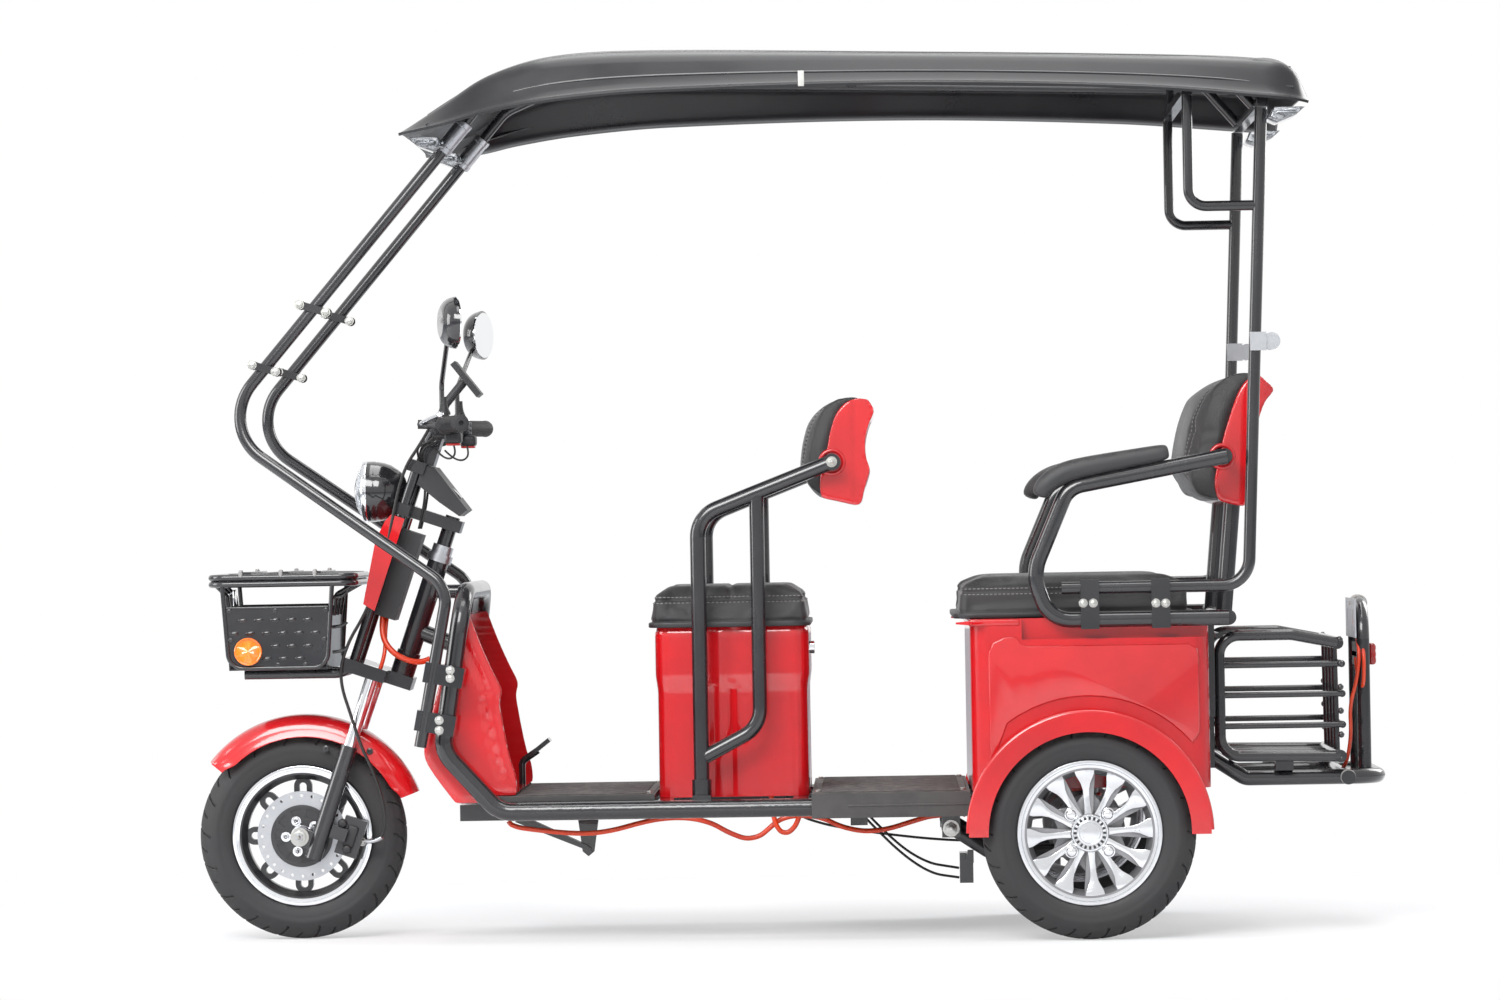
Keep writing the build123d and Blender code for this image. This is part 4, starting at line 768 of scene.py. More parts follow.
# %% Driver's seat cushion
def seat_pad(name, node, body, cap, voxel, margin, seam_drop, panels):
    """Swollen seat pad in the space of its solid, with a seam round it and sewn lines across its top."""
    low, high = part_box(node)
    pad = block(name, low + Vector((margin, margin, 0)), high - Vector((margin, margin, margin * 0.9)), 0.018, 4)
    swell(pad, cap, lambda place: place.z < low.z + 0.006, voxel)
    seam = high.z - seam_drop
    channel(pad, 0.0035, 0.006, lambda place: place.z - seam if place.z > low.z + 0.02 else None)
    channel(pad, 0.002, 0.005, lambda place: place.z - low.z - 0.013)
    for line in panels:
        channel(pad, 0.004, 0.009, line)
    print(name, "is", [round(v, 4) for v in pad.dimensions], "in", [round(v, 4) for v in high - low])
    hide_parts(node)
    dress(pad, seat_leather, body, 180)
    for tag, height in (("upper", seam + 0.0055), ("lower", seam - 0.0055)):
        points, normals = ring_on(pad, middle(node), height, 240, ((high.x - low.x) / 2, (high.y - low.y) / 2))
        stitch_along(name + "_stitches_" + tag, points, normals, body)
    return pad


driver_mid, driver_high = middle("driver_seat_cushion"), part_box("driver_seat_cushion")[1]
driver_cushion = seat_pad("driver_seat_pad", "driver_seat_cushion", "driver_seat_lid", 0.013, 0.006, 0.007, 0.022,
    [lambda place: place.x - driver_mid.x if place.z > driver_high.z - 0.02 else None])
print("driver pad faces", len(driver_cushion.data.polygons))

# %% [markdown]
# The passengers' bench is the same kind of pad, longer, with two lines across its top that part it in three.

# %% Rear seat cushion
rear_low, rear_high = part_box("rear_seat_cushion")
third = (rear_high.y - rear_low.y) / 3


def bench_line(side):
    """Sewn line along X at one distance from the middle."""
    return lambda place: place.y - side if place.z > rear_high.z - 0.02 else None


rear_cushion = seat_pad("rear_seat_pad", "rear_seat_cushion", "rear_seat_lid", 0.014, 0.008, 0.008, 0.024,
    [bench_line(-third / 2), bench_line(third / 2)])
print("rear pad faces", len(rear_cushion.data.polygons))

# %% [markdown]
# Backrests and armrest pads are the same foam and cover. A backrest's side outline is drawn through a few
# points, filled, and pulled out across the width, which gives its true profile. Pressure then rounds the
# front while the points that touch the moulded shell stay pinned.

# %% Outline helpers
def curve_through(points, steps=4, closed=True):
    """Finer list of points on a smooth curve through the given ones."""
    count = len(points)
    result = []
    for index in range(count if closed else count - 1):
        ends = [points[(index + k) % count] if closed else points[max(0, min(count - 1, index + k))]
            for k in (-1, 0, 1, 2)]
        a, b, c, d = (Vector(p) for p in ends)
        for step in range(steps):
            t = step / steps
            result.append(0.5 * (2 * b + (c - a) * t + (2 * a - 5 * b + 4 * c - d) * t * t
                + (3 * b - a - 3 * c + d) * t ** 3))
    if not closed:
        result.append(Vector(points[-1]))
    return result


def slab(name, outline, side_low, side_high, rounding=0, segments=3):
    """Solid with an outline of (x, z) points between two Y values, its rims rounded."""
    piece = sketch(name, [(ahead, side_low, up) for ahead, up in outline], "NGON")
    edit(piece)
    whole()
    pull((0, side_high - side_low, 0))
    whole()
    bpy.ops.mesh.normals_make_consistent(inside=False)
    if rounding:
        pick(piece, lambda place, way: abs(way.y) < 0.1, "EDGE")
        bpy.ops.mesh.bevel(offset=rounding, segments=segments, profile=0.5, clamp_overlap=True)
    close(piece)
    return piece


DRIVER_SEAM = [(-0.079, 0.8684), (-0.0755, 0.884), (-0.076, 0.908), (-0.084, 0.936), (-0.091, 0.967),
    (-0.097, 0.997), (-0.106, 1.026), (-0.118, 1.046), (-0.134, 1.059), (-0.154, 1.065)]
REAR_SEAM = [(-0.86, 0.849), (-0.853, 0.863), (-0.851, 0.888), (-0.855, 0.912), (-0.863, 0.948),
    (-0.871, 0.979), (-0.881, 1.01), (-0.893, 1.045), (-0.905, 1.07), (-0.92, 1.088),
    (-0.934, 1.098)]


def near_seam(seam, place, reach):
    """Whether a point lies close to the seam line between pad and shell."""
    return min(hypot(place.x - a, place.z - b) for a, b in seam) < reach


def back_pad(name, node, body, front, seam, cap, voxel, wrap):
    """Swollen backrest pad whose ends are drawn back towards its shell."""
    low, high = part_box(node)
    fine = curve_through(seam, 4, closed=False)
    centre = sum((Vector(p) for p in front), Vector((0, 0))) / len(front)
    inner = [Vector(p).lerp(centre, 0.05) for p in front]
    outline = fine + curve_through(inner, 3, closed=False)
    pad = slab(name, outline, low.y + 0.01, high.y - 0.01, 0.02, 4)
    swell(pad, cap, lambda place: near_seam(seam, place, 0.007), voxel)
    half = (high.y - low.y) / 2
    for vert in pad.data.vertices:
        share = max(0, (abs(vert.co.y) / half - 0.35) / 0.65)
        vert.co.x -= wrap * share ** 2
    line = half - 0.045
    channel(pad, 0.0035, 0.007, lambda place: abs(place.y) - line if not near_seam(seam, place, 0.02) else None)
    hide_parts(node)
    dress(pad, seat_leather, body, 180)
    print(name, "faces", len(pad.data.polygons))
    for tag, side in SIDES:
        for edge, shift in (("outer", 0.0055), ("inner", -0.0055)):
            points, normals = [], []
            for step in range(70):
                height = low.z + 0.022 + (high.z - low.z - 0.04) * step / 69
                origin = Vector((low.x + 0.6, side * (line + shift), height))
                found, place, normal, face = pad.ray_cast(origin, Vector((-1, 0, 0)))
                if found:
                    points.append(place)
                    normals.append(normal)
            stitch_along(name + "_stitches_" + tag + "_" + edge, points, normals, body)


# %% Backrest pads
back_pad("driver_backrest_cushion", "driver_backrest_pad", "chassis",
    [(-0.14, 1.071), (-0.114, 1.0715), (-0.094, 1.066), (-0.078, 1.052), (-0.062, 1.019),
     (-0.049, 0.974), (-0.043, 0.928), (-0.04, 0.897), (-0.046, 0.881), (-0.062, 0.871)],
    DRIVER_SEAM, 0.01, 0.006, 0.01)
back_pad("rear_backrest_cushion", "rear_backrest_pad", "chassis",
    [(-0.912, 1.108), (-0.888, 1.108), (-0.868, 1.101), (-0.853, 1.088), (-0.838, 1.065),
     (-0.824, 1.038), (-0.81, 1), (-0.8, 0.955), (-0.794, 0.915), (-0.792, 0.88),
     (-0.798, 0.86), (-0.812, 0.849), (-0.838, 0.845)],
    REAR_SEAM, 0.012, 0.0065, 0.016)

# %% [markdown]
# The moulded shells behind the pads are one glossy skin with soft edges, a groove beside the pad and a dished
# back. Each is drawn from its side profile, remeshed evenly and smoothed, which rounds every edge alike. The
# dish and the groove are then pressed in. A round collar takes the arm tube.

# %% Backrest shells
def back_shell(name, node, body, seam, back, half, collar, collar_radius):
    """Red shell with soft edges, a dished back and two collars."""
    outline = curve_through(seam, 3, closed=False) + curve_through(back, 2, closed=False)
    shell = slab(name, outline, -half, half)
    remesh(shell, 0.0045)
    modify(shell, "SMOOTH", factor=0.5, iterations=7)
    low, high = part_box(node)
    centre = (low + high) / 2
    for vert in shell.data.vertices:
        place = vert.co
        if vert.normal.x < -0.2:
            inward = smooth_step((half - 0.035 - abs(place.y)) / 0.03)
            inward *= smooth_step((place.z - low.z - 0.03) / 0.03) * smooth_step((high.z - 0.035 - place.z) / 0.03)
            place.x += 0.01 * inward
        if abs(vert.normal.y) > 0.8:
            place.y -= copysign(0.0025, place.y) * smooth_step((-place.x + centre.x - 0.004) / 0.012)
    shell.data.update()
    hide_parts(node)
    dress(shell, red_panel, body, 180)
    rings = [start("collar", "torus", major_segments=40, minor_segments=12,
        major_radius=collar_radius, minor_radius=0.0045, rotation=(QUARTER, 0, 0),
        location=(collar[0], side * (half - 0.001), collar[1])) for side in (-1, 1)]
    dress(join(rings, name + "_collars"), red_panel, body, 60)


back_shell("driver_backrest_moulding", "driver_backrest_shell", "chassis", DRIVER_SEAM,
    [(-0.173, 1.062), (-0.181, 1.05), (-0.185, 1.037), (-0.175, 1.015), (-0.168, 0.991),
     (-0.166, 0.966), (-0.169, 0.942), (-0.175, 0.924), (-0.169, 0.902), (-0.162, 0.879),
     (-0.158, 0.861), (-0.148, 0.853), (-0.124, 0.858), (-0.099, 0.864)], 0.211, (-0.1, 0.939), 0.023)
back_shell("rear_backrest_moulding", "rear_backrest_shell", "chassis", REAR_SEAM,
    [(-0.945, 1.093), (-0.957, 1.081), (-0.971, 1.065), (-0.955, 1.046), (-0.942, 1.016),
     (-0.933, 0.977), (-0.93, 0.938), (-0.931, 0.899), (-0.93, 0.865), (-0.921, 0.846),
     (-0.905, 0.838), (-0.882, 0.842)], 0.2675, (-0.866, 0.936), 0.022)
print("shells done")

# %% [markdown]
# The armrest pads are moulded foam over the bent tube: wide and thick at the front, where the hand rests,
# and thinner towards the back. A box is stretched along the tube, and each of its rings is moved and sized
# by a short table, then subdivided twice.

# %% Armrest pads
ARM_STATIONS = [(-0.504, 0.862, 0.012, 0.016), (-0.509, 0.878, 0.019, 0.019), (-0.524, 0.893, 0.022, 0.021),
    (-0.548, 0.9075, 0.023, 0.022), (-0.58, 0.917, 0.023, 0.021), (-0.64, 0.928, 0.022, 0.019),
    (-0.7, 0.9375, 0.021, 0.0175), (-0.735, 0.943, 0.0205, 0.017), (-0.752, 0.946, 0.018, 0.015),
    (-0.757, 0.947, 0.012, 0.01)]


def arm_pad(name, side_middle):
    """Soft pad over one armrest tube."""
    pad = start(name, "circle", vertices=16, radius=1, fill_type="NGON", rotation=(0, QUARTER, 0))
    edit(pad)
    whole()
    for station in range(len(ARM_STATIONS) - 1):
        pull((-1, 0, 0))
    close(pad, tidy=False)
    for vert in pad.data.vertices:
        number = min(len(ARM_STATIONS) - 1, max(0, round(-vert.co.x)))
        ahead, up, wide, tall = ARM_STATIONS[number]
        before = ARM_STATIONS[max(0, number - 1)]
        after = ARM_STATIONS[min(len(ARM_STATIONS) - 1, number + 1)]
        along = Vector((after[0] - before[0], 0, after[1] - before[1])).normalized()
        across = Vector((-along.z, 0, along.x))
        if across.z < 0:
            across = -across
        place = Vector((ahead, side_middle, up)) + across * (vert.co.z * tall)
        vert.co = place + Vector((0, vert.co.y * wide, 0))
    edit(pad)
    close(pad)
    modify(pad, "SUBSURF", levels=2, render_levels=2)
    return pad


left_pad = arm_pad("left_arm_foam", 0.353)
arm_pads = join([left_pad, twin(left_pad, "right_arm_foam", flip(-1))], "armrest_foam_pads")
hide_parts("armrest_pads")
dress(arm_pads, arm_foam, "chassis", 180)
print("arm pads", [round(v, 3) for v in arm_pads.dimensions])

# %% [markdown]
# The roof is one vacuum-formed sheet: a brim, a steep side wall, a nearly flat top with long raised ribs, and
# a nose that sweeps down ahead. A grid is the right start, because each of its rows becomes one section of
# the roof. The sections are read off a smooth curve through ten stations, and Solidify gives the sheet its
# thickness underneath.

# %% Roof sheet
ROOF_STATIONS = [(0.738, 1.597, 1.603, 0.33, 0.2), (0.64, 1.607, 1.664, 0.44, 0.24),
    (0.557, 1.626, 1.722, 0.465, 0.28), (0.435, 1.645, 1.757, 0.475, 0.31),
    (0.236, 1.66, 1.763, 0.475, 0.32), (-0.246, 1.666, 1.748, 0.475, 0.32),
    (-0.7, 1.65, 1.735, 0.475, 0.32), (-0.954, 1.628, 1.724, 0.465, 0.31),
    (-1.012, 1.622, 1.7, 0.455, 0.3), (-1.036, 1.618, 1.634, 0.44, 0.29)]


def roof_row(ahead):
    """Edge height, crown height, half width and shoulder of the roof at one X, eased between stations."""
    for index, (front, back) in enumerate(zip(ROOF_STATIONS, ROOF_STATIONS[1:])):
        if back[0] <= ahead <= front[0]:
            break
    before = ROOF_STATIONS[max(0, index - 1)]
    after = ROOF_STATIONS[min(len(ROOF_STATIONS) - 1, index + 2)]
    span = back[0] - front[0]
    t = (ahead - front[0]) / span
    row = []
    for column in range(1, 5):
        slope_a = (back[column] - before[column]) / (back[0] - before[0]) * span
        slope_b = (after[column] - front[column]) / (after[0] - front[0]) * span
        value = (front[column] * (1 + 2 * t) * (1 - t) ** 2 + slope_a * t * (1 - t) ** 2
            + back[column] * t * t * (3 - 2 * t) + slope_b * t * t * (t - 1))
        row.append(value)
    return row


def roof_height(ahead, side):
    """Height of the roof's top at a place, with its ribs."""
    edge, crown, half, shoulder = roof_row(ahead)
    side = abs(side)
    steps = [(0, 1), (shoulder, 0.9), (half - 0.062, 0.75), (half - 0.05, 0.66), (half - 0.024, 0.11),
        (half - 0.018, 0.05), (half - 0.01, 0.035), (half, 0)]
    for (side_a, share_a), (side_b, share_b) in zip(steps, steps[1:]):
        if side_a <= side <= side_b + 1e-9:
            share = share_a + (share_b - share_a) * (side - side_a) / (side_b - side_a)
            break
    height = edge + share * (crown - edge)
    along = smooth_step((0.6 - ahead) / 0.12) * smooth_step((ahead + 0.965) / 0.05)
    ribbed = max(smooth_step((0.03 - abs(side - rib)) / 0.009) for rib in (0.085, 0.24, 0.365))
    if side < half - 0.066:
        height -= 0.006 * along * (1 - ribbed)
    return height


roof = start("roof_sheet", "grid", x_subdivisions=150, y_subdivisions=172, size=2)
roof_front, roof_rear = ROOF_STATIONS[0][0], ROOF_STATIONS[-1][0]
for vert in roof.data.vertices:
    share = (vert.co.x + 1) / 2
    ahead = roof_rear + (roof_front - roof_rear) * (share - 0.028 * sin(2 * pi * share))
    side = copysign(abs(vert.co.y) ** 0.8, vert.co.y) * roof_row(ahead)[2]
    vert.co = (ahead, side, roof_height(ahead, side))
edit(roof)
close(roof)
modify(roof, "SMOOTH", factor=0.35, iterations=2)
modify(roof, "SOLIDIFY", thickness=0.005, offset=-1, use_even_offset=True)
edit(roof)
close(roof)
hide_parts("roof_panel")
dress(roof, roof_moulding, "chassis", 50)
print("roof faces", len(roof.data.polygons), [round(v, 3) for v in roof.dimensions])

# %% [markdown]
# Clear corner lamps hang under the brim at both ends of the roof: a wedge-shaped clear cover with a bright
# strip inside. A small pale tab marks the middle of each edge, and thin round ridges run along the ribs.

# %% Roof lamps and trim
def wedge_lamp(name, ahead, side, facing):
    """Clear wedge under the brim, deep at its inner end."""
    top = roof_row(ahead)[0] - 0.009
    outline = [(ahead - facing * back, top - drop) for back, drop in
        ((0, 0), (0.06, 0), (0.068, 0.018), (0.05, 0.026), (0.014, 0.012))]
    dress(slab(name, outline, side - 0.075, side + 0.075, 0.004, 2), clear_lens, "chassis", 30)
    ends = sorted((ahead - facing * 0.052, ahead - facing * 0.016))
    strip = block(name + "_strip", (ends[0], side - 0.062, top - 0.01), (ends[1], side + 0.062, top - 0.006),
        0.0015, 2)
    dress(strip, machined_alloy, "chassis", 30)


for tag, side in SIDES:
    wedge_lamp("roof_lamp_front_" + tag, 0.722, side * 0.235, 1)
    wedge_lamp("roof_lamp_rear_" + tag, -1.03, side * 0.33, -1)
edge, crown, half, shoulder = roof_row(-0.0555)
tabs = [block("edge_tab", (-0.0615, side * half - 0.003, edge - 0.004),
    (-0.0495, side * half + 0.003, edge + 0.026), 0.0012, 2) for side in (-1, 1)]
pale_tab = finish("pale_tab", (0.55, 0.55, 0.52), (0.45, 0.45, 0.42), (0.5, 0.6))
dress(join(tabs, "roof_edge_tabs"), pale_tab, "chassis", 30)
ridges = []
for share in (-0.93, -0.8, -0.42, 0.42, 0.8, 0.93):
    line = []
    for number in range(17):
        ahead = roof_rear + 0.03 + (roof_front - roof_rear - 0.09) * number / 16
        side = share * roof_row(ahead)[2]
        line.append((ahead, side, roof_height(ahead, side) - 0.0005))
    ridges.append(wire("roof_ridge", line, 0.0026))
dress(join(ridges, "roof_ridges"), gloss_moulding, "chassis", 60)
print("roof trim done")

# %% [markdown]
# The seat box under the driver is a deep drawn shell: its upper third stands out as a collar, and shallow
# upright channels stiffen its sides. A box with rounded corners is cut at a few heights by bisecting, and
# rings of faces are pushed in or out, as a sheet is formed over a mould.

# %% Driver's seat box
seat_low, seat_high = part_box("driver_seat_box")


def ease_ring(height, table):
    """Value read off a table of (height, value), eased between entries."""
    for (low, value_low), (high, value_high) in zip(table, table[1:]):
        if height <= high:
            return value_low + (value_high - value_low) * smooth_step((height - low) / (high - low))
    return table[-1][1]


seat_box = start("seat_box_shell", "cube", size=1, location=(seat_low + seat_high) / 2, scale=seat_high - seat_low)
edit(seat_box)
pick(seat_box, lambda place, way: abs(way.z) > 0.9, "EDGE")
soften(0.034, 8)
whole()
bpy.ops.mesh.normals_make_consistent(inside=False)
pick(seat_box, lambda place, normal: abs(normal.z) > 0.9)
bpy.ops.mesh.delete(type="FACE")
slices((0, 0, 1), seat_low.z, seat_high.z, 68)
slices((1, 0, 0), seat_low.x, seat_high.x, 34)
slices((0, 1, 0), seat_low.y, seat_high.y, 42)
close(seat_box)
COLLAR = [(0, 0.004), (0.18, 0.0045), (0.205, 0.0045), (0.245, 0), (0.325, 0), (0.336, 0.004)]
for vert in seat_box.data.vertices:
    place = vert.co.copy()
    inward = ease_ring(place.z - seat_low.z, COLLAR)
    out = Vector((vert.normal.x, vert.normal.y, 0)).normalized()
    if abs(out.y) > 0.95:
        for channel_x in (0.1, 0.148):
            inward += 0.004 * smooth_step((0.017 - abs(place.x - channel_x)) / 0.006)
    if abs(out.x) > 0.95:
        for channel_y in (-0.11, 0.11):
            inward += 0.004 * smooth_step((0.03 - abs(place.y - channel_y)) / 0.008)
    vert.co = place - out * inward
modify(seat_box, "SOLIDIFY", thickness=0.003, offset=-1)
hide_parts("driver_seat_box")
dress(seat_box, red_panel, "chassis", 40)
print("seat box faces", len(seat_box.data.polygons))

# %% [markdown]
# The lid board under each cushion is a black moulded tray that shows as a lip below the cover. The seat box
# also has a small barrel lock with a key slot on its back face.

# %% Seat trays and lock
def tray(name, node, body, shrink):
    """Thin dark rim under a cushion."""
    low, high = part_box(node)
    rim = start(name, "cube", size=1,
        location=((low.x + high.x) / 2, (low.y + high.y) / 2, low.z + 0.00575),
        scale=(high.x - low.x - shrink, high.y - low.y - shrink, 0.0105))
    edit(rim)
    pick(rim, lambda place, way: abs(way.z) > 0.9, "EDGE")
    soften(0.04, 8)
    pick(rim, lambda place, way: abs(way.z) < 0.1, "EDGE")
    soften(0.0025)
    close(rim)
    dress(rim, black_moulding, body)


tray("driver_seat_tray", "driver_seat_cushion", "driver_seat_lid", 0.004)
tray("rear_seat_tray", "rear_seat_cushion", "rear_seat_lid", 0.006)

lock = start("seat_lock", "cylinder", vertices=28, radius=0.013, depth=0.012,
    location=(seat_low.x - 0.004, 0.1, 0.572), rotation=(0, QUARTER, 0))
edit(lock)
pick(lock, lambda place, normal: normal.x < -0.9)
inset((0.003, 0))
pull((0.002, 0, 0))
inset((0.0075, 0))
resize((1, 0.35, 1.6), (seat_low.x, 0.1, 0.572))
pull((0.002, 0, 0))
pick(lock, lambda place, way: abs(way.x) < 0.1 and place.x < seat_low.x - 0.0095, "EDGE")
soften(0.0006)
close(lock)
dress(lock, polished_chrome, "chassis")
print("lock", [round(v, 4) for v in lock.dimensions])

# %% [markdown]
# The leg shield is a tall tray that wraps the rider's knees: a front face with wings whose rear edge steps in
# at the knee and runs out at the foot. Its side outline is drawn smoothly, pulled across the width, and
# hollowed from the rear. A pressed ridge follows the rear edge.

# %% Leg shield
SHIELD_FRONT = [(0.648, 0.652), (0.664, 0.58), (0.686, 0.5), (0.703, 0.44), (0.713, 0.396), (0.712, 0.366),
    (0.69, 0.328), (0.653, 0.278)]
SHIELD_REAR = [(0.534, 0.292), (0.531, 0.305), (0.534, 0.334), (0.543, 0.362), (0.552, 0.405), (0.56, 0.452),
    (0.563, 0.478), (0.559, 0.502), (0.575, 0.537), (0.598, 0.59), (0.62, 0.65)]
shield_outline = (curve_through(SHIELD_FRONT, 3, closed=False) + [(0.594, 0.278), (0.594, 0.292)]
    + curve_through(SHIELD_REAR, 3, closed=False))
shield = slab("leg_shield_shell", shield_outline, -0.2495, 0.2495)
remesh(shield, 0.006)
modify(shield, "SMOOTH", factor=0.5, iterations=5)


def behind_edge(place):
    """How far a place on a wing lies ahead of the shield's rear edge."""
    heights = [z for x, z in SHIELD_REAR]
    if place.z <= heights[0]:
        return place.x - SHIELD_REAR[0][0]
    for (x_a, z_a), (x_b, z_b) in zip(SHIELD_REAR, SHIELD_REAR[1:]):
        if z_a <= place.z <= z_b and z_b > z_a:
            return place.x - (x_a + (x_b - x_a) * (place.z - z_a) / (z_b - z_a))
    return place.x - SHIELD_REAR[-1][0]


for vert in shield.data.vertices:
    place = vert.co
    if abs(vert.normal.y) > 0.7:
        ridge = smooth_step((0.007 - abs(behind_edge(place) - 0.03)) / 0.005)
        ridge *= smooth_step((place.z - 0.325) / 0.01) * smooth_step((0.6 - place.z) / 0.01)
        place.y -= copysign(0.0035 * ridge, place.y)
    elif vert.normal.x > 0.4:
        place.x -= 0.006 * smooth_step((0.2 - abs(place.y)) / 0.05)
shield.data.update()
edit(shield)
pick(shield, lambda place, normal: normal.x < -0.25 and abs(place.y) < 0.2435 and place.z > 0.3
    and behind_edge(place) < 0.02)
pull((0, 0, 0))
bm = bmesh.from_edit_mesh(shield.data)
for vert in bm.verts:
    if vert.select:
        vert.co.x = 0.688 - max(0, vert.co.z - 0.42) * 0.245 - max(0, 0.366 - vert.co.z) * 0.62
bmesh.update_edit_mesh(shield.data)
close(shield, tidy=False)
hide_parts("leg_shield")
dress(shield, red_panel, "chassis", 50)
print("leg shield faces", len(shield.data.polygons))

# %% [markdown]
# The passenger body is a moulded box whose sides flow into wide wheel arches. The solid already has its
# walls and arches, so it stays. What the solid leaves plain is laid over it as thin mouldings: a rounded
# bead along the arch's outer edge, a raised field with soft borders on each side, and a rolled lip under the
# seat.

# %% Wheel arch beads
body_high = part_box("rear_body")[1]
arch_radius = tyre_radius + 0.027


def arch_bead(name, side):
    """Rolled bead round one wheel arch, spun about the axle."""
    hub = left_hub if side > 0 else right_hub
    middle_of_bead = Vector((0, side * (body_high.y - 0.0055) - hub.y, arch_radius - 0.004))
    turn = Matrix.Rotation(radians(89), 3, "Y")
    angles = [radians(18 * step) for step in range(20)]
    ring = [hub + turn @ (middle_of_bead + Vector((0, 0.0052 * cos(angle), 0.00975 * sin(angle))))
        for angle in angles]
    bead = sketch(name, ring)
    edit(bead, "VERT")
    sweep(hub, 72, 178)
    bpy.ops.mesh.select_all(action="DESELECT")
    bpy.ops.mesh.select_non_manifold()
    bpy.ops.mesh.edge_face_add()
    close(bead)
    return bead


beads = join([arch_bead("arch_bead", 1), arch_bead("arch_bead", -1)], "wheel_arch_beads")
dress(beads, red_panel, "chassis", 60)
print("beads", [round(v, 3) for v in beads.dimensions], "low", round(min(v.co.z for v in beads.data.vertices), 3))

# %% Side fields and top lip
def soft_plate(name, outline, side_in, side_out, rounding):
    """Thin plate on one side with a soft outer rim."""
    plate = slab(name, outline, min(side_in, side_out), max(side_in, side_out))
    edit(plate)
    pick(plate, lambda place, way: abs(way.y) < 0.1 and abs(place.y) > max(abs(side_in), abs(side_out)) - 0.0002,
        "EDGE")
    soften(rounding, 3)
    close(plate)
    return plate


side_y = 0.35
fields = []
for side in (-1, 1):
    crest = [(-0.3995, 0.33), (-0.3995, 0.56), (-0.408, 0.58), (-0.43, 0.59), (-0.455, 0.59),
        (-0.463, 0.578), (-0.476, 0.572), (-0.79, 0.572), (-0.806, 0.562), (-0.808, 0.545), (-0.808, 0.4)]
    angles = [radians(50 - 86 * step / 14) for step in range(15)]
    arc = [(left_hub.x - sin(angle) * (arch_radius + 0.03), left_hub.z + cos(angle) * (arch_radius + 0.03))
        for angle in angles]
    outline = crest + [p for p in arc if -0.808 < p[0] < -0.3995]
    fields.append(soft_plate("side_field", outline, side * (side_y - 0.0005), side * (side_y + 0.0035), 0.003))
dress(join(fields, "body_side_fields"), red_panel, "chassis", 50)

lip = block("body_top_lip", (-0.462, -side_y - 0.003, body_high.z - 0.014),
    (-0.361, side_y + 0.003, body_high.z - 0.0003), 0.005)
edit(lip)
pick(lip, lambda place, way: abs(way.z) > 0.9 and place.x > -0.37, "EDGE")
soften(0.03, 6)
close(lip)
dress(lip, red_panel, "chassis", 40)
print("body trim done")

# %% [markdown]
# The front mudguard is a blown shell with a round crown, a flat side skirt and a rolled hem. A half section
# is spun about the wheel's axle over the same arc as the solid, and Solidify gives its wall. Two domed screws
# hold it on each side.

# %% Front mudguard
guard_hub = Vector((front_hub.x - 0.006, front_hub.y, front_hub.z))
GUARD_SECTION = [(0.2445, 0), (0.244, 0.014), (0.2415, 0.027), (0.236, 0.038), (0.227, 0.0455), (0.215, 0.0495),
    (0.202, 0.0515), (0.1995, 0.053), (0.199, 0.052)]
section = [(-wide, radius) for radius, wide in reversed(GUARD_SECTION[1:])]
section += [(wide, radius) for radius, wide in GUARD_SECTION]
tilt = Matrix.Rotation(radians(51.5), 3, "Y")
guard = sketch("front_mudguard", [guard_hub + tilt @ Vector((0, wide, radius)) for wide, radius in section])
edit(guard, "EDGE")
pick(guard, lambda place, way: abs(way.y) > 0.98 and abs(place.y) < 0.02 and (place - guard_hub).length < 0.2, "EDGE")
bpy.ops.mesh.delete(type="EDGE")
sweep(guard_hub, 64, 121, merge=0.00005)
bm = bmesh.from_edit_mesh(guard.data)
angles = [degrees(about_axle(v.co, guard_hub)[1]) for v in bm.verts]
first, last = min(angles), max(angles)
print("guard spans", round(first), "to", round(last))
for vert, angle in zip(bm.verts, angles):
    if abs(vert.co.y) > 0.045:
        near_end = min(angle - first, last - angle)
        away = Vector((vert.co.x - guard_hub.x, 0, vert.co.z - guard_hub.z))
        vert.co += away.normalized() * (0.01 * (1 - smooth_step(near_end / 9)))
bmesh.update_edit_mesh(guard.data)
bpy.ops.mesh.normals_make_consistent(inside=False)
bpy.ops.object.mode_set(mode="OBJECT")
modify(guard, "SOLIDIFY", thickness=0.003, offset=-1)
edit(guard)
close(guard)
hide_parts("front_fender")
dress(guard, red_panel, "steering", 60)
print("mudguard", [round(v, 3) for v in guard.dimensions])

# %% [markdown]
# The stays that carry the mudguard come from the fork legs. They are short flat irons with a dimpled screw.

# %% Mudguard stays and screws
def domed_screw(name, place, facing, radius=0.006, height=0.0035):
    """Round head screw with a round dimple in its middle, its head along facing."""
    screw = start(name, "cylinder", vertices=20, radius=radius, depth=height)
    edit(screw)
    pick(screw, lambda spot, normal: normal.z > 0.9)
    inset((radius * 0.25, height * 0.25))
    inset((radius * 0.3, height * 0.12))
    inset((radius * 0.1, -height * 0.35))
    close(screw)
    return aimed(screw, place, facing)


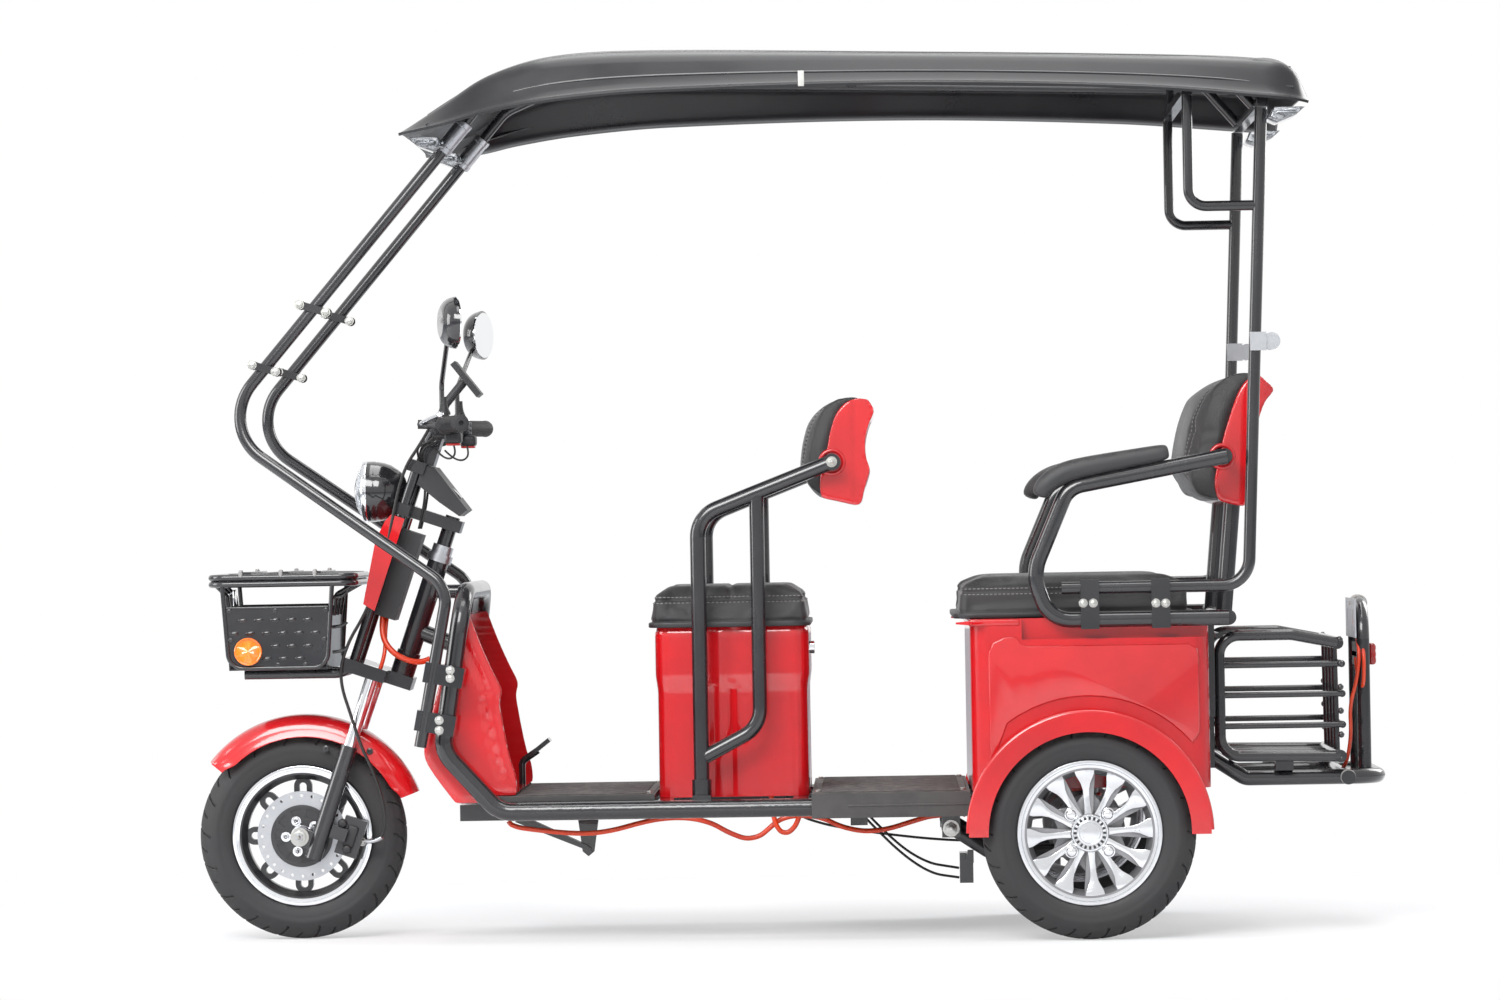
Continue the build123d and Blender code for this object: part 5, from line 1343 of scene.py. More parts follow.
def hex_nut(name, place, facing, radius=0.008, height=0.006, domed=False):
    """Hexagon head on a washer, with a round end or a dome in the middle."""
    head = start(name, "cylinder", vertices=6, radius=radius, depth=height, location=(0, 0, height / 2 + 0.0012))
    edit(head, "EDGE")
    pick(head, lambda spot, way: abs(way.z) < 0.1 and spot.z > height, "EDGE")
    soften(radius * 0.1)
    pick(head, lambda spot, normal: normal.z > 0.95)
    inset((radius * 0.22, 0))
    for share in ((0.35, 0.3, 0.2) if domed else (0.06,)):
        inset((radius * (0.16 if domed else 0.06), height * share))
    close(head)
    washer = start(name + "_washer", "cylinder", vertices=24, radius=radius * 1.35,
        depth=0.0014, location=(0, 0, 0.0007))
    edit(washer, "EDGE")
    pick(washer, lambda spot, way: abs(way.z) < 0.1, "EDGE")
    soften(0.0004, 1)
    close(washer)
    return aimed(join([head, washer], name), place, facing)


stays = []
for side in (-1, 1):
    plate = block("guard_stay", (-0.012, -0.0035, -0.011), (0.012, 0.0035, 0.011), 0.002, 2)
    plate.data.transform(Matrix.Translation(steer(0.19, 0.05, side * 0.0545)) @ Matrix.Rotation(-RAKE, 4, "Y"))
    stays.append(plate)
    for up, ahead in ((0.183, 0.095), (0.205, 0.01)):
        stays.append(domed_screw("guard_screw", steer(up, ahead, side * 0.0515), (0, side, 0), 0.0065))
dress(join(stays, "mudguard_stays"), black_cast, "steering", 40)
print("stays done")

# %% [markdown]
# Turned parts are drawn as half a section and spun about their axle, as on a lathe. One helper does this for
# rim lips, caps and lamp shells: the section is a closed loop of (radius, side) points.

# %% Lathe helper
def turned(name, hub, section, steps=96, axis=(0, 1, 0), up=(0, 0, 1), loop=True):
    """Piece spun about an axis from a section of (radius, along the axis) points."""
    axis, up = Vector(axis).normalized(), Vector(up).normalized()
    points = [hub + up * radius + axis * along for radius, along in section]
    piece = sketch(name, points)
    edit(piece, "EDGE")
    if not loop:
        gap = (points[0] + points[-1]) / 2
        pick(piece, lambda place, way: (place - gap).length < 0.00001, "EDGE")
        bpy.ops.mesh.delete(type="EDGE")
    sweep(hub, steps, axis=axis, merge=0.00005)
    bpy.ops.object.mode_set(mode="OBJECT")
    return piece


def round_places(hub, count, radius, along, first=0):
    """Evenly spaced places round an axle, each with its angle."""
    for number in range(count):
        angle = radians(first + 360 / count * number)
        yield hub + Vector((sin(angle) * radius, along, cos(angle) * radius)), angle


def lip_ring(name, hub, side, finish_used, body):
    """Bright stepped ring over one rim lip."""
    section = [(0.1265, -0.006), (0.1268, 0.0004), (0.13, 0.0012), (0.132, 0.0012), (0.1328, 0.0003),
        (0.1336, 0.0012), (0.1385, 0.0018), (0.1405, 0.0012), (0.1412, -0.0012), (0.1405, -0.003)]
    ring = turned(name, hub, [(radius, 0.0313 + along) for radius, along in section], 128, (0, side, 0))
    dress(ring, finish_used, body, 40)


for tag, side in SIDES:
    lip_ring("front_rim_lip_" + tag, front_hub, side, polished_chrome, "front_wheel")
for tag, hub, facing in REAR_WHEELS:
    for place, side in (("outer", facing), ("inner", -facing)):
        lip_ring("rear_rim_lip_" + tag + "_" + place, hub, side, machined_alloy, "rear_wheel_" + tag)
print("rim lips done")

# %% [markdown]
# The front hub carries a black disc carrier with long slots, five bright cap bolts, and a steel ring round
# the axle. Behind the bolts the carrier is one casting, so it starts as a disc whose faces are inset and
# pushed down, with single sectors pushed through as slots.

# %% Front hub and disc carrier
carrier_side = front_hub.y + 0.0395
carrier = start("disc_carrier", "cylinder", vertices=100, radius=0.0625, depth=0.0045,
    location=(front_hub.x, carrier_side, front_hub.z), rotation=(QUARTER, 0, 0))
edit(carrier)
pick(carrier, lambda place, normal: normal.y > 0.9)
inset((0.003, 0.0006), (0.005, 0), (0.0125, -0.0015), (0.004, 0), (0.01, 0.0015), (0.003, 0))


def in_slot(place, normal):
    """Faces of the carrier's recessed band that lie in one of ten slots."""
    radius, angle = about_axle(place, front_hub)
    return normal.y > 0.9 and 0.037 < radius < 0.055 and (degrees(angle) % 36) < 25


pick(carrier, in_slot)
pull((0, -0.0025, 0))
close(carrier)
dress(carrier, black_cast, "front_wheel", 30)

hub_bits = [hex_nut("carrier_bolt", spot, (0, 1, 0), 0.0075, 0.005, domed=True)
    for spot, angle in round_places(front_hub, 5, 0.032, 0.0425, 20)]
hub_bits.append(turned("hub_ring", front_hub + Vector((0, 0.0425, 0)),
    [(0.0165, 0), (0.0165, 0.0035), (0.0185, 0.005), (0.0215, 0.005), (0.0225, 0.0035),
     (0.0225, 0)], 48))
dress(join(hub_bits, "front_hub_bolts"), polished_chrome, "front_wheel")

valve = turned("tyre_valve", front_hub + Vector((-0.104, 0.01, 0)), [(0.0028, 0), (0.0028, 0.014), (0.0022, 0.016),
    (0.0022, 0.022), (0.0012, 0.023), (0.0008, 0)], 14, (1, 0, 0))
valve.data.transform(Matrix.Translation(front_hub) @ Matrix.Rotation(radians(18), 4, "Y")
    @ Matrix.Translation(-front_hub))
brass = finish("brass", (0.62, 0.36, 0.12), (0.5, 0.27, 0.08), (0.25, 0.4), metal=1, grain=900)
dress(valve, brass, "front_wheel")
print("front hub done")

# %% [markdown]
# On the fork's foot sit the axle nuts. The caliper gets its two slide bolts with rubber boots, a pad cover
# and a banjo bolt, where the brake hose arrives.

# %% Axle nuts and caliper details
nuts = [hex_nut("axle_nut", front_hub + Vector((0, side * 0.0845, 0)), (0, side, 0), 0.014, 0.01, domed=True)
    for side in (-1, 1)]
dress(join(nuts, "front_axle_nuts"), zinc_bolt, "steering")

cal_mid = middle("brake_caliper")
BOOT = [(0, 0), (0.0095, 0), (0.0095, 0.003), (0.0075, 0.0045), (0.009, 0.006), (0.0075, 0.008),
    (0.0088, 0.0095), (0.007, 0.0125), (0.004, 0.0135), (0, 0.0135)]
caliper_bits = [turned("slide_boot", Vector((cal_mid.x + ahead, 0.062, cal_mid.z + up)), BOOT, 28, loop=False)
    for up, ahead in ((0.028, 0.012), (-0.024, 0.004))]
cover = block("pad_cover", (-0.011, -0.004, -0.022), (0.011, 0.005, 0.022), 0.004, 3)
cover.data.transform(Matrix.Translation((cal_mid.x - 0.004, 0.0645, cal_mid.z + 0.002))
    @ Matrix.Rotation(-RAKE, 4, "Y"))
caliper_bits.append(cover)
dress(join(caliper_bits, "caliper_boots"), black_moulding, "steering")
banjo_place = Vector((cal_mid.x - 0.026, 0.052, cal_mid.z - 0.01))
banjo = hex_nut("banjo_bolt", banjo_place, (-0.6, 0.8, 0), 0.0065, 0.006, domed=True)
dress(banjo, zinc_bolt, "steering")
print("caliper details done")

# %% [markdown]
# A rear rim is a two-tone casting: dark in its pockets, machined bright on the faces of its spokes and on the
# ring. So the solid rim takes the dark cast finish, and a bright facing is laid on each spoke. One facing is
# outlined and pulled out, with its outer end flared and lifted to the ring, and then turned twelve times.

# %% Rear spoke facings
for node in ("rear_rim_left", "rear_rim_right"):
    solids[node].data.materials.clear()
    solids[node].data.materials.append(grey_cast)

SPOKE_HALF = [(0.034, 0.0075), (0.052, 0.006), (0.07, 0.0058), (0.085, 0.0066), (0.096, 0.0092),
    (0.106, 0.014), (0.114, 0.018), (0.1205, 0.0192), (0.128, 0.02)]
outline = [(wide, far) for far, wide in SPOKE_HALF] + [(-wide, far) for far, wide in reversed(SPOKE_HALF)]
facing = slab("spoke_facing", outline, 0, 0.0026)
edit(facing, "EDGE")
slices((0, 0, 1), 0.034, 0.13, 24)
pick(facing, lambda place, way: abs(way.y) < 0.1 and place.y > 0.002 and abs(way.z) > 0.1, "EDGE")
soften(0.0012)
close(facing)
for vert in facing.data.vertices:
    vert.co.y += 0.0212 + 0.0062 * smooth_step((vert.co.z - 0.07) / 0.052)
for tag, hub, side in REAR_WHEELS:
    place = Matrix.Translation(hub) @ flip(side)
    copies = [twin(facing, "spoke_facing", place @ Matrix.Rotation(radians(30 * number + 94), 4, "Y"))
        for number in range(12)]
    faces = join(copies, "rear_spoke_facings_" + tag)
    dress(faces, machined_alloy, "rear_wheel_" + tag)
bpy.data.objects.remove(facing)
print("facings done")

# %% [markdown]
# In the middle of a rear rim is a cap in a slotted bezel, and four domed wheel nuts stand between the spokes.
# A grey plate with scooped edges lies behind. The cap's middle is left plain.

# %% Rear hub caps, nuts and plates
BEZEL = [(0.0375, 0.029), (0.0375, 0.0315), (0.0355, 0.0335), (0.0325, 0.0335), (0.0315, 0.032), (0.026, 0.031),
    (0.025, 0.0335), (0.023, 0.0345), (0.021, 0.0345), (0.02, 0.0325), (0.012, 0.0335), (0, 0.034)]
WHEEL_NUT = [(0.0125, 0), (0.0125, 0.0015), (0.0105, 0.0022), (0.0103, 0.005), (0.009, 0.0078),
    (0.006, 0.01), (0.003, 0.0109), (0, 0.0111)]
for tag, hub, side in REAR_WHEELS:
    cap = turned("hub_bezel_" + tag, hub, BEZEL, 60, (0, side, 0), loop=False)
    dress(cap, machined_alloy, "rear_wheel_" + tag)
    slots = []
    for spot, angle in round_places(hub, 20, 0.0288, side * 0.0318):
        tooth = block("bezel_slot", (-0.0024, -0.0008, -0.0026), (0.0024, 0.0008, 0.0026), 0.0007, 1)
        tooth.data.transform(Matrix.Translation(spot) @ Matrix.Rotation(angle, 4, "Y"))
        slots.append(tooth)
    dress(join(slots, "hub_bezel_slots_" + tag), black_cast, "rear_wheel_" + tag)
    domes = [turned("wheel_nut", spot, WHEEL_NUT, 28, (0, side, 0), loop=False)
        for spot, angle in round_places(hub, 4, 0.051, side * 0.027, 45)]
    dress(join(domes, "wheel_nuts_" + tag), polished_chrome, "rear_wheel_" + tag, 50)
    plate = start("hub_plate_" + tag, "cylinder", vertices=144, radius=0.08, depth=0.006,
        location=hub + Vector((0, side * 0.0035, 0)), rotation=(QUARTER, 0, 0))
    edit(plate)
    pick(plate, lambda place, normal: side * normal.y > 0.9)
    inset((0.0015, 0.0008))
    close(plate)
    for vert in plate.data.vertices:
        radius, angle = about_axle(vert.co, hub)
        scoop = 0.5 + 0.5 * cos(radians(degrees(angle) * 6 + 180))
        shrink = 1 - 0.24 * scoop ** 0.7
        vert.co.x = hub.x + (vert.co.x - hub.x) * shrink
        vert.co.z = hub.z + (vert.co.z - hub.z) * shrink
    dress(plate, grey_cast, "rear_wheel_" + tag)
print("rear hubs done")

# %% [markdown]
# The basket's side plates have rows of pressed louvres, hems at the top, small screws, and a round amber
# reflector. One louvre is a half-sunk oval scoop, copied in staggered rows. The reflector's facets are the
# triangles of a fan whose spokes are pushed to two heights.

# %% Basket louvres and screws
basket_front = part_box("basket")[1].x
louvre = start("louvre", "uv_sphere", segments=16, ring_count=8, radius=0.005, rotation=(QUARTER, 0, 0))
edit(louvre)
whole()
bpy.ops.mesh.bisect(plane_co=(0, -0.0004, 0), plane_no=(0, -1, 0), clear_outer=True, use_fill=True)
whole()
resize((2, 0.8, 1))
pick(louvre, lambda place, normal: place.z < -0.0005 and place.y > 0.001, "VERT")
resize((1, 0.45, 1))
close(louvre)
louvres = []
for side in (-1, 1):
    for height, first, count in ((0.645, 0.95, 5), (0.619, 0.935, 6), (0.593, 0.95, 3), (0.568, 0.967, 3)):
        for number in range(count):
            place = Matrix.Translation((first + 0.0325 * number, side * 0.15, height))
            louvres.append(twin(louvre, "louvre", place @ flip(side) @ Matrix.Rotation(radians(4), 4, "Y")))
bpy.data.objects.remove(louvre)
dress(join(louvres, "basket_louvres"), black_tube, "steering", 50)

screws = [domed_screw("basket_screw", (ahead, side * 0.1505, up), (0, side, 0), 0.0045, 0.0028)
    for side in (-1, 1) for ahead, up in ((1.106, 0.664), (1.014, 0.664), (0.913, 0.664), (1.104, 0.606),
                                          (0.917, 0.606), (1.01, 0.556), (0.955, 0.556))]
dress(join(screws, "basket_screws"), black_cast, "steering")

hems = [block("plate_hem", (0.907, side * 0.1495 - 0.0028, 0.6675), (1.113, side * 0.1495 + 0.0028, 0.6725), 0.0022)
    for side in (-1, 1)]
dress(join(hems, "basket_plate_hems"), black_tube, "steering", 40)
print("basket pressings done")

# %% Amber reflectors
spot = middle("side_reflectors")
# The facets and rim also emit a faint orange light of their own: a painted glow, since a reflector is no lamp.
amber_facets_painted_glow = finish("amber_facets_painted_glow", (1, 0.24, 0.005), (0.85, 0.12, 0.002), (0.08, 0.16), coat=0.8,
    bump=0.02, clouds=40, Emission_Color=(1, 0.18, 0, 1), Emission_Strength=0.22)
for tag, side in SIDES:
    face = start("reflector_" + tag, "cone", vertices=16, radius1=0.0245, radius2=0,
        depth=0.003, rotation=(-QUARTER, 0, 0))
    edit(face, "EDGE")
    pick(face, lambda place, way: abs(place.y) < 0.001, "EDGE")
    bpy.ops.mesh.subdivide(number_cuts=1)
    whole()
    bpy.ops.mesh.bisect(plane_co=(0, 0, 0), plane_no=(1, 0, 0))
    close(face, tidy=False)
    for vert in face.data.vertices:
        radius, angle = about_axle(vert.co, Vector())
        if radius > 0.003 and round(degrees(angle) / 22.5) % 2:
            vert.co.y += 0.0016
    face.data.transform(Matrix.Translation((spot.x, side * 0.1585, spot.z)) @ flip(side))
    if side < 0:
        face.data.flip_normals()
    rim = turned("reflector_rim_" + tag, Vector((spot.x, side * 0.152, spot.z)),
        [(0.024, 0), (0.024, 0.0075), (0.0258, 0.0088), (0.0272, 0.008), (0.0278, 0.004), (0.0278, 0)],
        48, (0, side, 0))
    dress(face, amber_facets_painted_glow, "steering", 5)
    dress(rim, amber_facets_painted_glow, "steering")
    if side > 0:
        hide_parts("side_reflectors")
print("reflectors done")

# %% [markdown]
# The lid is a wire frame. Thin wires run fore and aft over it, held by three pale clips on each side. The
# wires are open curves with a round bevel, turned to mesh. A wire latch hangs at the basket's front.

# %% Basket lid wires, clips and latch
lid_low, lid_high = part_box("basket_lid")
wires = []
for number in range(9):
    side = -0.128 + 0.032 * number
    wires.append(wire("lid_wire", [(lid_high.x - 0.008, side, lid_low.z + 0.0065), (1.06, side, lid_low.z + 0.0135),
                     (0.98, side, lid_low.z + 0.0145), (lid_low.x + 0.012, side, lid_low.z + 0.012)],
        0.0018))
dress(join(wires, "lid_wires"), black_tube, "basket_lid", 60)
clips = [block("lid_clip", (ahead - 0.004, side * 0.146 - 0.009, lid_low.z + 0.004),
          (ahead + 0.004, side * 0.146 + 0.009, lid_high.z + 0.004), 0.003)
    for ahead in (1.082, 1.002, 0.934) for side in (-1, 1)]
pale_clip = finish("pale_clip", (0.34, 0.33, 0.32), (0.26, 0.25, 0.25), (0.4, 0.55), grain=900)
dress(join(clips, "lid_clips"), pale_clip, "basket_lid", 40)

latch_bits = [block("latch_plate", (basket_front - 0.04, -0.018, 0.672), (basket_front - 0.036, 0.018, 0.705),
          0.0015, 2),
    wire("latch_loop", [(1.118, -0.012, 0.7), (1.128, -0.012, 0.69), (1.13, -0.012, 0.67),
                        (1.124, -0.01, 0.655), (1.122, 0, 0.652), (1.124, 0.01, 0.655),
                        (1.13, 0.012, 0.67), (1.128, 0.012, 0.69), (1.118, 0.012, 0.7)], 0.0022)]
dress(join(latch_bits, "basket_latch"), polished_chrome, "steering", 50)
for up in (0.688, 0.628, 0.578):
    hook = wire("rear_hook", [(0.906, 0.1, up), (0.893, 0.1, up + 0.001), (0.882, 0.1, up + 0.004),
        (0.876, 0.1, up + 0.01)], 0.0035)
    dress(hook, black_tube, "steering", 60)
print("lid done")

# %% [markdown]
# The headlamp is a deep black bowl with a chrome bezel and a clear domed glass. Behind the glass a fluted
# chrome dish throws the light, so all three are separate pieces, each turned on the lamp's own axis.

# %% Headlamp
AHEAD = (1, 0, 0)
lamp_hub = Vector((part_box("headlight_housing")[1].x, 0, middle("headlight_housing").z))
bowl = turned("headlamp_bowl", lamp_hub, [(0.06, 0.0035), (0.0612, 0), (0.0612, -0.014), (0.06, -0.018),
    (0.0603, -0.02), (0.0575, -0.034), (0.053, -0.047), (0.0455, -0.058), (0.044, -0.0605),
    (0.036, -0.07), (0.025, -0.076), (0.012, -0.079), (0, -0.08)], 72, AHEAD, loop=False)
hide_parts("headlight_housing")
dress(bowl, gloss_moulding, "steering", 40)
bezel = turned("headlamp_bezel", lamp_hub, [(0.054, 0.0025), (0.0548, 0.0075), (0.0575, 0.0105), (0.06, 0.0098),
    (0.0614, 0.006), (0.0618, 0.0015), (0.0605, -0.0015), (0.056, 0)], 96, AHEAD)
dress(bezel, polished_chrome, "steering", 60)
glass = turned("headlamp_glass", lamp_hub, [(0.055, 0.0045), (0.052, 0.011), (0.044, 0.0175), (0.033, 0.0225),
    (0.019, 0.0262), (0.008, 0.0275), (0, 0.0278)], 72, AHEAD, loop=False)
modify(glass, "SOLIDIFY", thickness=0.002, offset=-1)
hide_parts("headlight_lens")
dress(glass, clear_lens, "steering", 60)
dish = turned("headlamp_dish", lamp_hub, [(0.053, 0.003), (0.048, -0.006), (0.04, -0.016), (0.028, -0.025),
    (0.015, -0.03), (0.009, -0.031)], 64, AHEAD, loop=False)
for vert in dish.data.vertices:
    away = Vector((0, vert.co.y - lamp_hub.y, vert.co.z - lamp_hub.z))
    flute = 0.5 + 0.5 * cos(16 * atan2(away.y, away.z))
    vert.co.x += 0.0016 * flute * smooth_step((away.length - 0.012) / 0.02)
modify(dish, "SOLIDIFY", thickness=0.0012, offset=1)
bulb = turned("headlamp_bulb", lamp_hub + Vector((-0.034, 0, 0)), [(0.0095, 0), (0.0095, 0.006), (0.0075, 0.009),
    (0.007, 0.018), (0.0045, 0.024), (0, 0.026)], 32, AHEAD, loop=False)
dress(join([dish, bulb], "headlamp_dish"), polished_chrome, "steering", 50)
print("headlamp done")

# %% [markdown]
# Bar grips are ribbed rubber sleeves with a flanged inner end and a hole for the bar end. A turned section
# with many small steps gives the ribs, spun about the bar's own line, which sweeps back and a little up.

# %% Grips and bar ends
grip_low, grip_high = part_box("grips")


def bar_line(side):
    """Inner and outer ends of one grip's axis."""
    outer = Vector((grip_low.x + 0.0165, side * (grip_high.y - 0.002), grip_high.z - 0.017))
    inner = Vector((grip_high.x - 0.016, side * 0.2235, grip_low.z + 0.016))
    return inner, outer


for tag, side in SIDES:
    inner, outer = bar_line(side)
    along = (outer - inner).normalized()
    length = (outer - inner).length
    across = along.cross(Vector((1, 0, 0))).normalized()
    section = [(0.0115, 0), (0.0195, 0), (0.02, 0.002), (0.0195, 0.0045), (0.0162, 0.006)]
    ribs = 16
    for number in range(ribs):
        base = 0.01 + number * (length - 0.026) / ribs
        section += [(0.0158, base), (0.0165, base + 0.0012), (0.0165, base + 0.0034), (0.0158, base + 0.0046)]
    section += [(0.0168, length - 0.012), (0.0172, length - 0.006), (0.016, length - 0.0015),
        (0.012, length), (0.005, length), (0.0045, length - 0.006), (0, length - 0.006)]
    grip = turned("ribbed_grip_" + tag, inner, section, 40, along, across, loop=False)
    dress(grip, grip_rubber, "steering", 40)
    if side > 0:
        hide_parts("grips")
print("grips", round(length, 3))

# %% [markdown]
# A lever is a forged blade with a ball end that pivots in a perch clamped on the bar. Its blade is a round wire,
# its ball is squeezed a little in height, and the perch is a rounded block with two screws.

# %% Brake levers, perches and switch pods
levers, perches, buttons, red_marks = [], [], [], []
for side in (-1, 1):
    inner, outer = bar_line(side)
    root = inner + Vector((0.018, -side * 0.024, 0.002))
    blade_points = [root + Vector((0.006, -side * 0.004, 0)), root + Vector((0.024, side * 0.006, 0.001)),
        root + Vector((0.03, side * 0.03, 0.001)), root + Vector((0.02, side * 0.07, 0.004)),
        root + Vector((0, side * 0.112, 0.01)), root + Vector((-0.018, side * 0.142, 0.016))]
    levers.append(wire("brake_lever", blade_points, 0.0042, sides=3))
    ball = start("lever_ball", "uv_sphere", segments=20, ring_count=12, radius=0.0078, location=blade_points[-1])
    edit(ball)
    whole()
    resize((1, 1, 0.85), blade_points[-1])
    close(ball)
    levers.append(ball)
    for place, size, rounding in ((inner + Vector((0.008, -side * 0.026, 0)), (0.046, 0.026, 0.036), 0.007),
            (inner + Vector((0.012, -side * 0.06, -0.006)), (0.036, 0.034, 0.042), 0.008),
            (inner + Vector((-0.014, -side * 0.03, -0.026)), (0.034, 0.044, 0.022), 0.006)):
        half = Vector(size) / 2
        perches.append(block("switch_pod", place - half, place + half, rounding, 4))
    red_marks.append(block("pod_underside", inner + Vector((-0.028, -side * 0.03 - 0.017, -0.041)),
        inner + Vector((0, -side * 0.03 + 0.017, -0.036)), 0.002, 2))
    for up in (0.01, 0, -0.01):
        buttons.append(block("pod_button", inner + Vector((-0.021, -side * 0.026 - 0.006, up - 0.003)),
            inner + Vector((-0.012, -side * 0.026 + 0.006, up + 0.003)), 0.0012, 2))
    for up in (0.01, -0.01):
        perches.append(domed_screw("perch_screw", inner + Vector((0.031, -side * 0.026, up)), AHEAD, 0.0035, 0.0025))
dress(join(levers, "brake_levers"), polished_chrome, "steering", 60)
dress(join(perches, "switch_pods"), black_moulding, "steering", 40)
button_red = finish("button_red", (0.55, 0.02, 0.015), (0.45, 0.015, 0.012), (0.3, 0.4), grain=900)
dress(join(red_marks, "pod_undersides"), button_red, "steering", 40)
button_grey = finish("button_grey", (0.16, 0.17, 0.17), (0.12, 0.12, 0.13), (0.35, 0.5), grain=900)
dress(join(buttons, "pod_buttons"), button_grey, "steering", 40)
print("controls done")

# %% [markdown]
# Thin leads run from the pods down to the electronics box in a loose bundle, held at the top of the fork. The
# front brake hose leaves the left perch, follows the fork leg, bows out behind it, and ends at the caliper.
# Everything in this bundle turns with the fork, so each is one smooth curve that rides with the steering.

# %% Bar leads and brake hose
leads = []
for side, shift in ((1, 0), (1, 0.01), (-1, 0), (-1, 0.01), (1, 0.018)):
    inner, outer = bar_line(side)
    root = inner + Vector((-0.002 + shift, -side * 0.062, -0.01))
    leads.append(wire("bar_lead", [root, root + Vector((0.016, -side * 0.016, -0.02)),
        Vector((0.716 + shift, side * 0.11, 0.985)),
        Vector((0.722, side * (0.06 - shift), 0.955 - shift)),
        steer(0.72, 0.06, side * (0.02 + shift)),
        steer(0.66, 0.056, side * (0.016 + shift))], 0.0022))
for side in (-1, 1):
    inner, outer = bar_line(side)
    root = inner + Vector((-0.012, -side * 0.045, -0.036))
    leads.append(wire("pod_loop", [root, root + Vector((-0.006, -side * 0.004, -0.018)),
        root + Vector((0.006, -side * 0.02, -0.032)),
        root + Vector((0.026, -side * 0.038, -0.026)),
        root + Vector((0.04, -side * 0.06, -0.01))], 0.002))
dress(join(leads, "bar_leads"), cable_skin, "steering", 60)
inner, outer = bar_line(1)
hose_points = [inner + Vector((0.03, -0.03, 0)), inner + Vector((0.05, -0.06, -0.03)),
    steer(0.76, 0.118, 0.105), steer(0.64, 0.104, 0.098), steer(0.53, 0.096, 0.092),
    steer(0.46, 0.102, 0.094), steer(0.4, 0.116, 0.098), steer(0.33, 0.112, 0.104),
    (0.868, 0.101, 0.44), (0.853, 0.098, 0.39), (0.828, 0.096, 0.335), (0.812, 0.094, 0.285),
    (0.806, 0.088, 0.235), (0.815, 0.078, 0.205), (0.836, 0.068, 0.192),
    banjo_place + Vector((-0.006, 0.008, 0.002))]
hose = wire("front_brake_hose", hose_points, 0.0032, sides=3)
dress(hose, cable_skin, "steering", 60)
sleeve = wire("hose_end_sleeve", hose_points[-3:], 0.0042, sides=3)
dress(sleeve, brushed_steel, "steering", 60)
print("bar leads done")

# %% [markdown]
# Two orange sleeves leave the electronics box on the turning fork and go to the frame beside it, so they
# cross the steering joint. Each is one fixed curve left in place, on neither the fork's body nor the frame's.

# %% Orange sleeves at the steering head
def blended_sleeve(name, points, radius):
    """Sleeve from the fork to the frame."""
    piece = wire(name, points, radius, sides=3)
    piece.data.materials.clear()
    piece.data.materials.append(orange_sleeve)
    bpy.ops.object.shade_smooth_by_angle(angle=radians(60))
    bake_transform(piece)


blended_sleeve("head_sleeve_upper", [(0.81, 0.03, 0.655), (0.812, 0.04, 0.63), (0.808, 0.048, 0.598),
    (0.787, 0.054, 0.571), (0.756, 0.052, 0.556), (0.73, 0.046, 0.553),
    (0.716, 0.04, 0.56)], 0.006)
blended_sleeve("head_sleeve_lower", [(0.802, 0.02, 0.652), (0.806, 0.034, 0.62), (0.805, 0.046, 0.58),
    (0.812, 0.052, 0.55), (0.823, 0.05, 0.524), (0.82, 0.044, 0.505)], 0.0042)

# %% [markdown]
# Each mirror stem stands in a rubber boot on the bar, wide at its foot and drawn in above.

# %% Mirror stem boots
boots = []
for side in (-1, 1):
    inner, outer = bar_line(side)
    foot = inner + Vector((0.003, -side * 0.021, 0.02))
    boots.append(turned("mirror_boot", foot, [(0, 0), (0.0125, 0), (0.013, 0.004), (0.0105, 0.009),
                              (0.008, 0.016), (0.0065, 0.026), (0.006, 0.036), (0, 0.036)], 24,
        (0, 0, 1), (1, 0, 0), loop=False))
dress(join(boots, "mirror_boots"), grip_rubber, "steering", 40)
print("mirror boots done")

# %% [markdown]
# The instrument pod gets a dark glass face with a speed scale of plain ticks.

# %% Instrument face
dash_low, dash_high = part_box("dashboard")
slope = dash_high - dash_low
face_normal = Vector((-0.72, 0, 0.69)).normalized()
face_turn = face_normal.to_track_quat("Z", "Y").to_matrix().to_4x4()
dash_mid = Vector((dash_low.x + slope.x * 0.46, 0, dash_low.z + slope.z * 0.6))
display = block("dial_glass", (-0.026, -0.04, -0.002), (0.026, 0.04, 0.002), 0.0035, 3)
on_face = Matrix.Translation(dash_mid + face_normal * 0.004) @ face_turn
display.data.transform(on_face)
dress(display, gloss_moulding, "steering")
ticks = []
for number in range(13):
    angle = radians(-120 + 20 * number)
    tick = block("dial_tick", (-0.0005, -0.0022, -0.0003), (0.0005, 0.0022, 0.0003), 0.0001, 1)
    place = Matrix.Translation((cos(angle) * 0.017, sin(angle) * 0.017, 0.0022))
    tick.data.transform(on_face @ place @ Matrix.Rotation(angle - QUARTER, 4, "Z"))
    ticks.append(tick)
tick_white = finish("tick_white", (0.75, 0.76, 0.76), (0.7, 0.7, 0.7), (0.4, 0.5))
dress(join(ticks, "dial_ticks"), tick_white, "steering", 20)
print("dial done")

# %% [markdown]
# The canopy and armrest clamps are closed by hexagon bolts, and the plates across the front tubes by one bolt
# at each end. Each bolt is the same head on a washer, so a list of places is enough.

